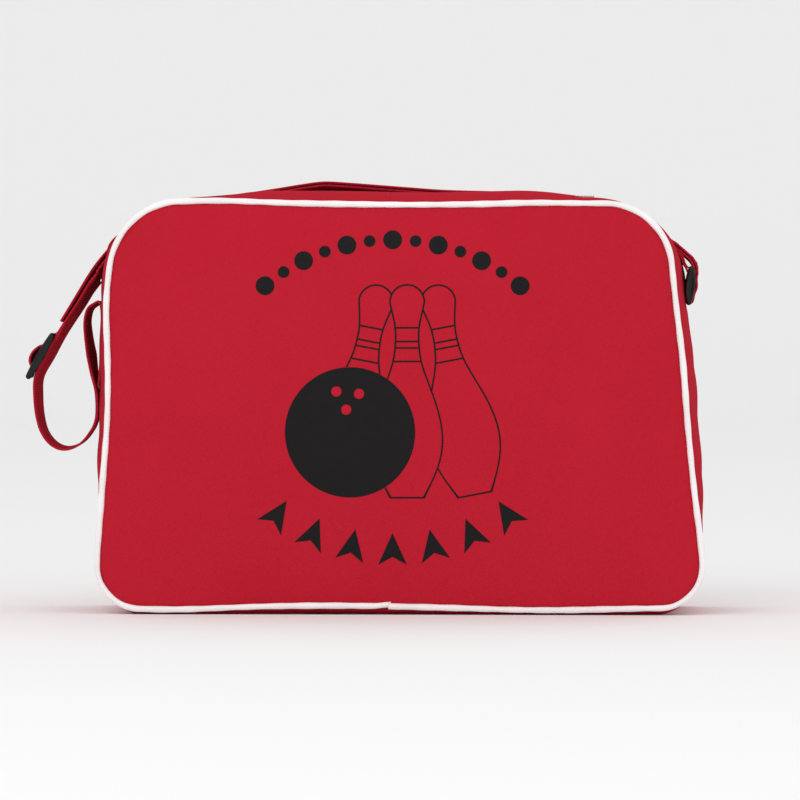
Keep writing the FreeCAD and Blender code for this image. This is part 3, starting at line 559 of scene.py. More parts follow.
def top_rise(x, y):
    """The top's crests: 0 at the seams, highest half way to them, lower over the zip.

    The front crest stands 6.2 mm higher along the middle than at its ends."""
    depth = np.abs(y)
    middle = ease((x + 145) / 60) * ease((135 - x) / 60)
    front = 2.4 + 6.2 * middle - 0.9 * hump(x, 16, 36) + 1.3 * hump(x, 110, 22) - 0.9 * hump(x, -140, 30)
    crest = np.where(y < 0, front, 3.9 + 0.6 * middle)
    valley = 4.3 + 0.7 * middle
    outer = 1 - np.clip((depth - 26) / 26, 0, 1) ** 2
    inner = ease(depth / 24)
    return outer * (valley + (crest - valley) * inner)


def strap_dent(x, y, z):
    """The strap's pull presses the rear of the upper corners in: 4.2 mm on the left, 8 on the right."""
    behind = ease((y - 2) / 16) * np.sqrt(np.clip(1 - (y / SEAM_DEPTH) ** 2, 0, 1))
    left = 4.2 * ease((-x - 100) / 35)
    right = 8.0 * ease((x - 80) / 45)
    return behind * (left + right) * ease((z - 235) / 20)


def gusset_row(depth):
    """One dense section of the gusset at a depth: seam outline plus bulge, rise and foot."""
    full = 1 - (depth / SEAM_DEPTH) ** 2
    place, normal = rounded_outline(UPPER_RADIUS + UPPER_GROWTH * full, LOWER_RADIUS + LOWER_GROWTH * full)
    x, z = place[:, 0], place[:, 1]
    foot = SEAM_LOW * ease((SEAM_DEPTH - abs(depth)) / 9.0)
    upward = np.clip(normal[:, 1], 0, 1) ** 2
    downward = np.clip(-normal[:, 1], 0, 1) ** 2
    sideways = normal[:, 0] ** 2
    creases = 0.5 * np.sin(z / 11.0 + depth / 16.0) + 0.35 * np.sin(z / 5.7 - depth / 9.0 + 1.0)
    out = sideways * full * (side_bulge(x, z) + creases * ease(z / 80))
    out = out + upward * top_rise(x, depth) + downward * foot
    out = out - strap_dent(x, depth, z)
    x = x + normal[:, 0] * out
    z = z + normal[:, 1] * out
    x, z = sway(x, np.full(len(x), depth), z)
    return x, z


def gusset_cuts(x, z):
    """Travel along a section, with the four places where its strips meet."""
    travel = travel_along(np.stack([x, z], axis=1))
    half = len(x) // 2
    upper_left = slice(0, half)
    high = z > 150
    left, right = high.copy(), high.copy()
    left[half:] = False
    right[:half] = False
    return travel, [
        np.interp(-ZIP_LEFT, -x[left], travel[left]),
        np.interp(-JOINT_HEIGHT, -z[upper_left], travel[upper_left]),
        np.interp(JOINT_HEIGHT, z[half:], travel[half:]),
        np.interp(-ZIP_RIGHT, -x[right], travel[right]),
    ]


END_DEPTH = SEAM_DEPTH - 1.6


def make_gusset():
    """Left, bottom and right strips of the gusset, each a swept grid with cloth thickness."""
    depths = END_DEPTH * np.sin(np.linspace(-math.pi / 2, math.pi / 2, 41))
    rows = [gusset_row(depth) for depth in depths]
    strips = (("gusset_left", 0, 150), ("gusset_bottom", 1, 190), ("gusset_right", 2, 150))
    for name, cut, count in strips:
        grid, uv = [], []
        for depth, (x, z) in zip(depths, rows):
            travel, cuts = gusset_cuts(x, z)
            along = np.linspace(cuts[cut], cuts[cut + 1], count)
            level = np.full(count, depth)
            grid.append(np.stack([np.interp(along, travel, x), level, np.interp(along, travel, z)], 1))
            uv.append(np.stack([along, level], 1))
        piece = surface("shell_" + name, np.array(grid), np.array(uv), flip=True)
        settle(thicken(piece, CLOTH), GUSSET_CLOTH_SHADED, "root", (name,))


def top_height(x, depth):
    """Height of the gusset's top over X at one depth."""
    row_x, row_z = gusset_row(depth)
    high = row_z > 200
    order = np.argsort(row_x[high])
    return np.interp(x, row_x[high][order], row_z[high][order])


MIDDLE_X = (ZIP_LEFT + ZIP_RIGHT) / 2
HALVES = (("left", ZIP_LEFT, MIDDLE_X), ("right", MIDDLE_X, ZIP_RIGHT))


def for_first(side, *nodes):
    """The nodes that a pair of halves stands for, which its left half alone replaces."""
    return nodes if side == "left" else ()


def blend_half(piece):
    """Bake a half of the mouth's transform into its mesh."""
    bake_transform(piece)


def make_top_strips():
    """Front and rear top strips in two halves each, from the seam to the folded zip edge."""
    for lip, sign in (("front", -1), ("rear", 1)):
        depths = sign * np.linspace(LIP_EDGE, END_DEPTH, 28)
        for side, start, stop in HALVES:
            x = np.linspace(start, stop, STRIP_STEPS)
            rows = [np.stack([x, np.full(STRIP_STEPS, depth), top_height(x, depth)], 1) for depth in depths]
            grid = np.array(rows)
            fold = np.exp(-(np.abs(np.abs(grid[:, :, 1]) - LIP_EDGE) / 1.2))
            grid[:, :, 2] -= 0.5 * fold
            uv = grid[:, :, :2].copy()
            piece = surface(f"{lip}_strip_{side}", grid, uv, flip=sign < 0)
            thicken(piece, CLOTH)
            settle(piece, GUSSET_CLOTH_SHADED, None, for_first(side, f"top_strip_{lip}"))
            blend_half(piece)


# ---- piping and binding


def sweep(name, path, outs, sides, profile, closed):
    """A section carried along a path: each point is path + a out + b side for (a, b) of the section."""
    outwards = profile[None, :, :1] * outs[:, None, :]
    sideways = profile[None, :, 1:] * sides[:, None, :]
    grid = path[:, None, :] + outwards + sideways
    uv = np.stack(np.meshgrid(travel_along(path), travel_along(profile), indexing="ij"), axis=2)
    return surface(name, grid, uv, wrap_rows=closed, wrap_columns=True)


PIPING_JOIN_X = -8.0


def make_piping():
    """White piping round both panels; its two ends meet under the bag, a little askew."""
    angles = np.linspace(0, 2 * math.pi, 18, endpoint=False)
    for name, sign in (("front_piping", -1), ("rear_piping", 1)):
        path, out = seam_path(0.0, sign * SEAM_DEPTH)
        underneath = path[:, 2] < 30
        join = np.argmin(np.abs(path[:, 0] - PIPING_JOIN_X) + np.where(underneath, 0, 10))
        path, out = np.roll(path, -join, axis=0), np.roll(out, -join, axis=0)
        path = np.vstack([path, path[:1] + (path[1:2] - path[:1]) * 0.6])
        out = np.vstack([out, out[:1]])
        travel = travel_along(path)
        pull = 0.10 * np.sin(travel / 3.1) + 0.12 * np.sin(travel / 17.0)
        tuck = 1.3 * np.exp(-((travel[-1] - travel) / 7.0) ** 2)
        path = path - out * tuck[:, None]
        path[:, 1] += sign * (0.6 * np.exp(-(travel / 6.0) ** 2) + 0.25)
        radius = PIPING + pull
        ring = np.stack([np.cos(angles), np.sin(angles)], axis=1)
        side = np.tile((0.0, 1.0, 0.0), (len(path), 1))
        grid = path[:, None, :] + radius[:, None, None] * (
            ring[None, :, :1] * out[:, None, :] + ring[None, :, 1:] * side[:, None, :]
        )
        uv = np.stack(np.meshgrid(travel, angles * PIPING, indexing="ij"), axis=2)
        piece = close_up(surface(name + "_cord", grid, uv, wrap_columns=True))
        settle(piece, VINYL, "root", (name,))


def rounded_strip(width, thickness, turns=5):
    """Section of a tape: two long faces and two half-round edges, as (n, 2) width and thickness."""
    half = width / 2 - thickness / 2
    across = np.linspace(-half, half, 13)
    bend = np.linspace(-math.pi / 2, math.pi / 2, turns + 2)[1:-1]
    right = np.stack([half + np.cos(bend) * thickness / 2, np.sin(bend) * thickness / 2], 1)
    lower = np.stack([across, np.full(13, -thickness / 2)], 1)
    upper = np.stack([across[::-1], np.full(13, thickness / 2)], 1)
    left = np.stack([-right[::-1, 0], right[::-1, 1]], 1)
    return np.vstack([lower, right, upper, left])


def make_binding():
    """Tape folded over the raw edges, standing inside along both seams."""
    for name in ("front_seam_binding", "rear_seam_binding"):
        low, high = box_mm(name)
        depth = (low[1] + high[1]) / 2
        path, out = seam_path(2.6, depth, UPPER_RADIUS + 14.0)
        side = np.tile((0.0, 1.0, 0.0), (len(path), 1))
        section = rounded_strip(high[1] - low[1], 1.3)[:, ::-1]
        piece = close_up(sweep(name + "_tape", path, out, side, section, True))
        settle(piece, BINDING, "root", (name,))


# ---- panels, linings, pocket, print


def panel_depth(x, z):
    """How far a panel stands out at (x, z): a soft crown of cubes, with slack waves and pulls."""
    share_z = np.clip((z - (SEAM_LOW + SEAM_HIGH) / 2) / ((SEAM_HIGH - SEAM_LOW) / 2), -1, 1)
    centre = LEAN * (z - SEAM_LOW) / (SEAM_HIGH - SEAM_LOW)
    half = edge_x(1, z) - centre
    share_x = np.clip((x - centre) / half, -1, 1)
    crown = (1 - np.abs(share_x) ** 3) * (1 - np.abs(share_z) ** 3)
    slack = 0.55 * np.sin(x / 41.0 + z / 67.0) + 0.45 * np.sin(z / 33.0 - x / 58.0 + 0.8)
    slack = slack + 0.3 * np.sin(x / 19.0 + 1.7) * np.sin(z / 27.0)
    corner = (np.abs(share_x) * np.abs(share_z)) ** 3
    pulls = 0.7 * np.sin((np.abs(x) - z * np.sign(z - 138)) / 9.5) * corner
    loose = (slack - 0.6) * np.sqrt(np.clip(crown, 0, 1))
    return SEAM_DEPTH + 0.8 + PANEL_CROWN * crown + loose + pulls


def panel_grid(inset, rings, depth_of):
    """Concentric copies of the outline shrinking to its centre, with depth from (x, z)."""
    path, _ = seam_path(inset, -SEAM_DEPTH)
    outline = path[::2][:, [0, 2]]
    centre = outline.mean(axis=0)
    shares = 1 - np.linspace(0, 1, rings) ** 1.25
    places = centre + shares[:, None, None] * (outline - centre)[None]
    edge = np.linalg.norm(places - outline[None], axis=2)
    depth = depth_of(places[:, :, 0], places[:, :, 1]) - 1.6 * np.exp(-edge / 2.2)
    return np.stack([places[:, :, 0], -depth, places[:, :, 1]], axis=2)


def make_sheets(part, grid, thickness, material):
    """A sheet for the front and its mirror image for the rear, each closed at its centre."""
    for end, sign in (("front", 1), ("rear", -1)):
        name = f"{end}_{part}"
        placed = grid * (1, sign, 1)
        flat = placed[:, :, [0, 2]]
        piece = surface(name + "_cloth", placed, flat, wrap_columns=True, flip=sign < 0)
        end_work(merged_work(piece.data), piece.data)
        settle(thicken(piece, thickness), material, "root", (name,))


def make_panels():
    """Front and rear panels: one crowned, slack grid each."""
    grid = panel_grid(PANEL_INSET, 64, panel_depth)
    make_sheets("panel", grid, CLOTH, POLYESTER)


def lining_depth(x, z):
    """The lining hangs 3 mm inside the panel, with its own small folds."""
    folds = 0.35 * np.sin(x / 8.0 + 0.6 * np.sin(z / 21.0)) * ease((250 - z) / 120)
    return panel_depth(x, z) - LINING_GAP + folds


def make_linings():
    """Front and rear linings, and the flat slip pocket with its gathered, hemmed top edge."""
    make_sheets("lining", panel_grid(LINING_INSET, 40, lining_depth), LINING_CLOTH, LINING)
    low, high = box_mm("inner_pocket")
    across, up = np.meshgrid(np.linspace(low[0], high[0], 90), np.linspace(low[2], high[2], 60))
    rise = (up - low[2]) / (high[2] - low[2])
    sag = POCKET_SAG * rise**2 * (1 - ((across + 3.5) / 92) ** 2)
    gather = 0.5 * np.sin(across / 4.0) * rise**3 + sag
    hem = 0.5 * ease((rise - 0.93) / 0.02)
    depth = lining_depth(across, up) - 1.1 - gather - hem
    cloth = surface("slip_pocket", np.stack([across, depth, up], axis=2), np.stack([across, up], axis=2))
    settle(thicken(cloth, LINING_CLOTH), LINING, "root", ("inner_pocket",))


def make_print():
    """Film on the front panel: each printed node's front face, cut fine and laid on the cloth."""
    for name in ("print_ball", "print_pins", "print_dots", "print_arrows"):
        work = merged_work(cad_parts[name].data, 0.001)
        work.normal_update()
        hidden = [face for face in work.faces if face.normal.y > -0.7]
        bmesh.ops.delete(work, geom=hidden, context="FACES")
        for _ in range(5):
            long_edges = [edge for edge in work.edges if edge.calc_length() > FILM_EDGE * MM]
            if not long_edges:
                break
            bmesh.ops.subdivide_edges(work, edges=long_edges, cuts=1, use_grid_fill=False)
            bmesh.ops.triangulate(work, faces=work.faces)
        mesh = end_work(work, bpy.data.meshes.new(name + "_film"))
        places = read_places(mesh)
        places[:, 1] = -(panel_depth(places[:, 0], places[:, 2]) + FILM_LIFT)
        write_places(mesh, places)
        mesh.polygons.foreach_set("use_smooth", [False] * len(mesh.polygons))
        film = thicken(new_object(name + "_film", mesh), FILM_THICKNESS)
        settle(film, FILM, "root", (name,))


# ---- webbing
# Straps follow places given here, in mm: X, Y and Z, or up and out from the tri-glide.


UPWARD = np.array([0.5, 0.0, math.sqrt(0.75)])
OUTWARD = np.array([-math.sqrt(0.75), 0.0, 0.5])


def by_glide(up, out):
    """A place given by distances up the strap and outwards from the tri-glide's middle."""
    return GLIDE + UPWARD * up + OUTWARD * out


def side_face(height):
    """X of the left side's outermost line at a height."""
    x, z = gusset_row(0.0)
    left = (x < -150) & (z > 60)
    order = np.argsort(z[left])
    return np.interp(height, z[left][order], x[left][order])


def polar(centre, radius, degrees):
    """Places on a circle in the X-Z plane at these angles."""
    turn = np.radians(np.asarray(degrees, float))
    return centre + radius * np.stack([np.cos(turn), 0 * turn, np.sin(turn)], axis=1)


def webbing_frames(stations, twists, per):
    """Smooth line through all the stations, with its station numbers, width and outward directions."""
    last = len(stations) - 1
    path = smooth_line(stations, 0, last, per)
    where = np.linspace(0, last, len(path))
    turn = np.radians(np.interp(where, np.arange(last + 1), twists))[:, None]
    along = np.gradient(path, axis=0)
    along /= np.linalg.norm(along, axis=1, keepdims=True)
    flat = np.array([0.0, 1.0, 0.0]) - along[:, 1:2] * along
    flat /= np.linalg.norm(flat, axis=1, keepdims=True)
    side = flat * np.cos(turn) + np.cross(flat, along) * np.sin(turn)
    return path, where, side, np.cross(side, along)


def webbing(
    name, stations, first, last, layer=0.0, twists=None, spread=None,
    width=WEBBING, thickness=WEBBING_THICKNESS, per=10,
):
    """Flat webbing along a smooth line: its width lies along Y, turned by the twist at each station.

    The line and its directions come from all the stations, and the piece keeps those between
    first and last, so that neighbouring pieces meet. layer moves it off the line, times spread."""
    numbers = np.arange(len(stations))
    path, where, side, out = webbing_frames(stations, 0 * numbers if twists is None else twists, per)
    if spread is not None:
        layer = layer * np.interp(where, numbers, spread)[:, None]
    keep = (where >= first - 1e-6) & (where <= last + 1e-6)
    path = (path + out * layer)[keep]
    return close_up(sweep(name, path, side[keep], out[keep], rounded_strip(width, thickness), False))


def wrap_on_side(piece, start, end):
    """Bend a strap across its width as the gusset bulges: X moves by 9(y/52)^2, fading from start to end."""
    places = read_places(piece.data)
    share = ease((places[:, 0] - end) / (start - end))
    places[:, 0] += 9.0 * (places[:, 1] / SEAM_DEPTH) ** 2 * share
    write_places(piece.data, places)


LEFT_PAIR = [by_glide(20.0, -2.6), by_glide(42.0, -3.4), by_glide(64.0, -3.85)]
LEFT_CORNER = [(-199.2, 6.0, 234.0), (-194.2, 11.0, 242.2), (-187.0, 19.0, 249.4)]
LEFT_CORNER += [(-179.2, 26.0, 258.6), (-170.3, 30.0, 266.0), (-160.0, 31.0, 271.2)]
LEFT_TOP = [(-146.0, 32.0, 274.0), (-130.0, 33.0, 275.0)]
TOP_LINE = [(-112.0, 33.0, 276.4), (-98.6, 33.0, 278.0), (-82.0, 33.0, 280.4), (-68.0, 33.0, 282.3)]
TOP_LINE += [(-53.0, 33.0, 283.7), (-33.0, 33.0, 282.7), (1.0, 33.0, 280.5), (28.0, 33.0, 279.0)]
TOP_LINE += [(60.0, 33.0, 278.5), (98.0, 33.0, 277.6)]
RIGHT_TOP = [(116.0, 33.0, 275.8), (132.0, 32.0, 273.4)]
RIGHT_CORNER = [(147.2, 31.0, 267.8), (157.4, 30.0, 261.0), (166.4, 26.0, 253.6)]
RIGHT_CORNER += [(174.2, 20.0, 249.2), (180.0, 12.0, 245.2), (185.2, 7.0, 240.9)]
RIGHT_FALL = [(190.2, 3.0, 236.5), (193.8, 1.0, 232.1), (195.3, 0.0, 227.1), (194.8, 0.0, 222.4)]
OVER = LEFT_PAIR + LEFT_CORNER + LEFT_TOP + TOP_LINE + RIGHT_TOP + RIGHT_CORNER + RIGHT_FALL
LAYER = 1.05
AT_PAIR = 2
AT_TOP = len(LEFT_PAIR + LEFT_CORNER + LEFT_TOP)
AT_TOP_END = AT_TOP + len(TOP_LINE) - 1
AT_FALL = AT_TOP_END + len(RIGHT_TOP + RIGHT_CORNER)
AT_RING = len(OVER) - 1
STATION = np.arange(len(OVER))
OVER_TWIST = np.interp(
    STATION,
    [0, 4, 9, AT_TOP + 2, AT_TOP + 4, AT_TOP + 5, AT_TOP + 8, AT_TOP_END, AT_FALL - 2, AT_FALL, AT_RING],
    [4.5, 2.8, 1, 3, 5.5, 5, 1, 0, 0.5, 0.5, 0],
)
OVER_SPREAD = 1 + 0.6 * hump(STATION, 1.6, 2.2) - 0.2 * hump(STATION, 0, 0.5)


def pair(name, first, last):
    """Both layers of the doubled strap between two stations, as one object."""
    layers = [
        webbing(f"{name}_{side}", OVER, first, last, LAYER * side, OVER_TWIST, OVER_SPREAD)
        for side in (-1, 1)
    ]
    return join_meshes(name, layers)


# The patch that is sewn to the left side, and how far its middle stands off the cloth.
PATCH_HEIGHTS = (150.0, 165.0, 180.0, 195.0)
PATCH_LIFT = 0.3
# Where the two halves of the strap over the top meet, as a station number.
AT_MIDDLE = AT_TOP + 5.8


def make_straps():
    """The shoulder strap from the sewn anchor, through its loop and over the top to the ring."""
    patch = [(side_face(height) - PATCH_LIFT, 0.0, height) for height in PATCH_HEIGHTS]
    fold = [(side_face(203.0) - 0.8, 0.0, 203.0), (side_face(206.0) - 2.2, 0.0, 206.4)]
    sides = (
        (-206.2, 205.2), (-209.9, 201.2), (-211.6, 193.7), (-211.0, 184.3), (-209.2, 170.9),
        (-207.4, 157.0), (-206.0, 144.2), (-205.6, 134.1), (-206.4, 126.4), (-209.6, 118.6),
        (-216.3, 111.4), (-225.4, 108.2), (-233.7, 110.9), (-240.2, 118.7), (-243.5, 129.5),
        (-244.8, 143.5),
    )
    loop = [(x, 0.0, z) for x, z in sides]
    loop += [by_glide(-13.5, -4.9), by_glide(2.0, -4.4)]
    path, where, _, out = webbing_frames(OVER, OVER_TWIST, 10)
    shift = LAYER * np.interp(where, STATION, OVER_SPREAD)[:, None]
    loop += list((path + out * shift)[: 10 * AT_PAIR + 11 : 10])
    whole = patch + fold + loop
    count = len(whole)
    twist = np.interp(
        np.arange(count),
        [0, 4, 5, 8, 10, 11, 12, 13, 15, 17, 19, 21, 24, count - 1],
        [0, 0, -1, -1.6, -3.5, -0.5, 3.2, 3, 1, 1, 1.4, 3.2, 4.5, 4.5],
    )
    anchor = webbing("strap_anchor_webbing", whole, 0, 5, 0.0, twist)
    wrap_on_side(anchor, -206.0, -210.0)
    settle(anchor, WEB, "root", ("strap_anchor_left",))
    free = webbing("strap_loop_webbing", whole, 5, count - 2, 0.0, twist)
    wrap_on_side(free, -205.0, -209.5)
    settle(free, WEB, "root", ("strap_loop",))

    outer = webbing("strap_outer_webbing", OVER, 0.3, AT_PAIR, -LAYER, OVER_TWIST, OVER_SPREAD)
    settle(outer, WEB, "root", ("strap_outer_left",))
    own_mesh(outer)

    settle(pair("strap_pair_left", AT_PAIR, AT_TOP), WEB, "root", ("strap_corner_left",))
    for side, first, last in (("left", AT_TOP, AT_MIDDLE), ("right", AT_MIDDLE, AT_TOP_END)):
        piece = pair(f"strap_top_{side}", first, last)
        settle(piece, WEB, None, for_first(side, "strap_top"))
        blend_half(piece)
    settle(pair("strap_pair_right", AT_TOP_END, AT_FALL), WEB, "root", ("strap_corner_right",))
    fall = pair("strap_fall_webbing", AT_FALL, AT_RING)
    settle(fall, WEB, None, ("strap_fall_right",))
    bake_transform(fall)


RING_LOW, RING_HIGH = box_mm("strap_ring")
RING_BAR = 3.6
RING_HANG = 5.4
RING_AXIS = np.array([RING[0] - 1.1, 0.0, RING_HIGH[2] - RING_BAR / 2])
DOWN_RING = np.array([-math.sin(math.radians(RING_HANG)), 0.0, -math.cos(math.radians(RING_HANG))])
ACROSS_RING = np.array([-DOWN_RING[2], 0.0, DOWN_RING[0]])
LOWER_BAR = RING_AXIS + DOWN_RING * (RING_HIGH[2] - RING_LOW[2] - RING_BAR)
CORNER = np.array([125.0, 0.0, 222.0])


def corner_skin(degrees):
    """Distance from CORNER to the right upper corner of the gusset at mid depth, at these angles."""
    x, z = gusset_row(0.0)
    near = (x > CORNER[0]) & (z > CORNER[2] - 30)
    turn = np.degrees(np.arctan2(z[near] - CORNER[2], x[near] - CORNER[0]))
    reach = np.hypot(x[near] - CORNER[0], z[near] - CORNER[2])
    order = np.argsort(turn)
    return np.interp(degrees, turn[order], reach[order])


# From a bar's surface to the middle of the webbing round it, and of the tab from the cloth.
WRAP_GAP = 0.95
TAB_GAP = 0.85
TAB_LAYER = 0.65


def make_ring_webbing():
    """The wrap round the ring's lower bar, and the folded tab round its upper bar."""
    end = np.array(RIGHT_FALL[-1])
    hold = RING_BAR / 2 + WRAP_GAP
    outside = [end + (LAYER, 0, 0), end + (LAYER + 0.1, 0, -6.0), LOWER_BAR + (3.6, 0, 3.6)]
    around = list(polar(LOWER_BAR, hold, (-10, -45, -80, -115, -150, -185, -215)))
    inside = [LOWER_BAR + (-0.3, 0, 5.2), end + (-LAYER - 0.3, 0, -6.0), end + (-LAYER, 0, 0)]
    whole = np.vstack([outside, around, inside])
    piece = webbing("strap_wrap_webbing", whole, 0, len(whole) - 1)
    settle(piece, WEB, "ring", ("strap_ring_wrap",))

    angles = np.array([18.0, 15.5, 13.0, 11.0, 9.0])
    turn = np.radians(angles)
    outward = np.stack([np.cos(turn), 0 * turn, np.sin(turn)], axis=1)
    skin = corner_skin(angles)[:, None]
    inner = CORNER + outward * (skin + TAB_LAYER)
    upper = CORNER + outward[::-1] * (skin[::-1] + TAB_LAYER + 1.2)
    away = inner[-1] - RING_AXIS
    lead = math.degrees(math.atan2(away[2], away[0]))
    straight = away / np.linalg.norm(away)
    across = np.array([-straight[2], 0.0, straight[0]])
    eye = polar(RING_AXIS, RING_BAR / 2 + TAB_GAP, lead + np.array([100, 135, 170, 205, 240, 260]))
    neck = RING_AXIS + straight * 4.0
    near, far = neck + across * TAB_LAYER, neck - across * TAB_LAYER
    whole = np.vstack([inner, [near], eye, [far], upper])
    tab = webbing("strap_tab_webbing", whole, 0, len(whole) - 1, width=36.0, thickness=1.1)
    settle(tab, WEB, "root", ("strap_ring_tab",))


def make_sewn_end():
    """The strap's own end, folded round the tri-glide's middle bar and swelling through its slots."""
    path = [(27.5, -1.5), (21.0, -1.9), (15.0, -2.35), (9.5, 0.2), (5.0, 4.0)]
    path += [(-0.5, 5.9), (-5.5, 5.3), (-8.6, 2.6), (-9.6, -0.6)]
    stations = [by_glide(up, out) for up, out in path]
    twist = [4.5, 4.5, 3.0, 1.0, 0.0, 0.0, 0.0, 0.0, 0.0]
    piece = webbing("strap_end_webbing", stations, 0, len(stations) - 1, 0.0, twist)
    settle(piece, WEB, "triglide", ("strap_sewn_end",))


# ---- moulded fittings


RAIL_TIP = 1.9


def bevelled_rail(name, middle, lengthwise, across, half_length, half_middle, half_end, near, far):
    """A moulded rail seen end on: a lens in its plane, carried along Y with bevelled faces.

    At share t of its length its half thickness is end + (middle - end)(1 - t^2), and both tips
    are half circles. Five rings make each face: a sunk centre, its rim, the face and two bevels."""
    t = np.linspace(-1, 1, 25)
    thick = half_end + (half_middle - half_end) * (1 - t**2)
    tip = np.linspace(0, math.pi, 9)[1:-1]
    body = half_length - half_end
    one_side = np.stack([t * body, thick], 1)
    top_tip = np.stack([body + half_end * np.sin(tip), half_end * np.cos(tip)], 1)
    outline = np.vstack([one_side, top_tip, -one_side, -top_tip])
    scale = np.array([0.0, 0.55, 0.72, 0.9, 1.0, 1.0, 0.9, 0.72, 0.55, 0.0])
    depth = np.array([0.35, 0.35, 0.0, 0.12, 0.9, -0.9, -0.12, 0.0, -0.35, -0.35])
    place = (np.where(np.arange(len(depth)) < len(depth) // 2, near, far) + depth)[:, None]
    rings = outline[None] * scale[:, None, None]
    grid = middle + rings[..., :1] * lengthwise + rings[..., 1:] * across
    grid[..., 1] = np.broadcast_to(place, grid.shape[:2])
    return close_up(surface(name, grid, wrap_columns=True))


def bar(name, middle, radius, half_width, flat, lengthwise):
    """A bar along Y with an oval section, its long axis lengthwise."""
    turn = np.linspace(0, 2 * math.pi, 20, endpoint=False)
    long_way = np.array(lengthwise)
    short_way = np.cross(long_way, (0.0, 1.0, 0.0))
    section = radius * (np.cos(turn)[:, None] * long_way + flat * np.sin(turn)[:, None] * short_way)
    stops = np.array([-half_width, half_width])
    grid = middle + section[None] + stops[:, None, None] * np.array([0.0, 1.0, 0.0])
    return close_up(surface(name, grid, wrap_columns=True))


def make_fitting(name, node, body, middle, up, out, rail, bars, radius, flat, lengthwise):
    """Two end rails, rail = (half length, half thickness at the middle), and bars between them."""
    low, high = box_mm(node)
    half_width = (high[1] - low[1]) / 2
    parts = []
    for number, sign in enumerate((-1, 1)):
        near, far = sorted((sign * (half_width - 0.2), sign * (half_width - 4.2)))
        parts.append(
            bevelled_rail(f"{name}_rail_{number}", middle, up, out, *rail, RAIL_TIP, near + 0.9, far - 0.9)
        )
    for number, place in enumerate(bars):
        parts.append(bar(f"{name}_bar_{number}", place, radius, half_width - 1.5, flat, lengthwise))
    settle(join_meshes(f"{name}_moulding", parts), ACETAL, body, (node,))


def make_fittings():
    """The ring, hanging a little askew on two round bars, and the tri-glide with three flat ones."""
    middle = (RING_AXIS + LOWER_BAR) / 2
    make_fitting(
        "ring", "strap_ring", "ring", middle, DOWN_RING, ACROSS_RING, (13.0, 3.2),
        (RING_AXIS, LOWER_BAR), RING_BAR / 2, 1.0, (0.0, 0.0, 1.0),
    )
    glide_bars = [GLIDE + UPWARD * up for up in (-15.0, 0.0, 15.0)]
    make_fitting(
        "triglide", "strap_triglide", "triglide", GLIDE, UPWARD, OUTWARD, (17.6, 2.7),
        glide_bars, 2.2, 0.68, tuple(UPWARD),
    )


# ---- zip


def coil_half(name, sign, start, stop):
    """One half of a coil zip: x runs on evenly while the wire circles an oval in Y and Z."""
    pitch, wire, steps = 1.35, 0.36, 12
    half_width, half_height, overlap = 1.75, 0.95, 1.35
    turns = int((stop - start) / pitch)
    turn = np.linspace(0, turns * 2 * math.pi, turns * steps + 1)
    phase = 0.0 if sign < 0 else math.pi
    x = start + (stop - start) * turn / turn[-1] + 0.25 * np.sin(turn + phase)
    y = sign * (overlap - half_width * np.cos(turn + phase))
    z = ZIP_HEIGHT + half_height * np.sin(turn + phase)
    path = np.stack([x, y, z], axis=1)
    along = np.gradient(path, axis=0)
    along /= np.linalg.norm(along, axis=1, keepdims=True)
    out = np.cross(along, (1.0, 0.0, 0.0))
    out /= np.linalg.norm(out, axis=1, keepdims=True)
    side = np.cross(along, out)
    angles = np.linspace(0, 2 * math.pi, 6, endpoint=False)
    section = wire * np.stack([np.cos(angles), np.sin(angles)], axis=1)
    return close_up(sweep(name, path, out, side, section, False), 0.001)


# The coil stops this far short of the mouth's ends, beside the zip's metal stops.
COIL_END = 3.6


def make_zip():
    """Tapes and coil halves on both lips, and the still stretch of tape under each end."""
    for lip, sign in (("front", -1), ("rear", 1)):
        for side, start, stop in HALVES:
            x = np.linspace(start, stop, TAPE_STEPS)
            depths = sign * np.linspace(2.2, 16.5, 9)
            under = CLOTH + TAPE_GAP
            level = np.full(TAPE_STEPS, 1.0)
            rows = [np.stack([x, depth * level, top_height(x, depth) - under], 1) for depth in depths]
            grid = np.array(rows)
            grid[:, :, 2] = np.where(np.abs(grid[:, :, 1]) < LIP_EDGE + 1, ZIP_HEIGHT, grid[:, :, 2])
            tape = surface(f"{lip}_tape_{side}", grid, grid[:, :, :2].copy(), flip=sign < 0)
            ends = (f"zip_end_{side}",) if lip == "front" else ()
            nodes = for_first(side, f"zip_tape_{lip}") + ends
            settle(thicken(tape, TAPE_THICKNESS), TAPE, None, nodes)
            blend_half(tape)
            first = start + COIL_END if side == "left" else start
            last = stop if side == "left" else stop - COIL_END
            coil = coil_half(f"{lip}_coil_{side}", sign, first, last)
            settle(coil, COIL, None, for_first(side, f"zip_teeth_{lip}"))
            blend_half(coil)


# ---- stitching


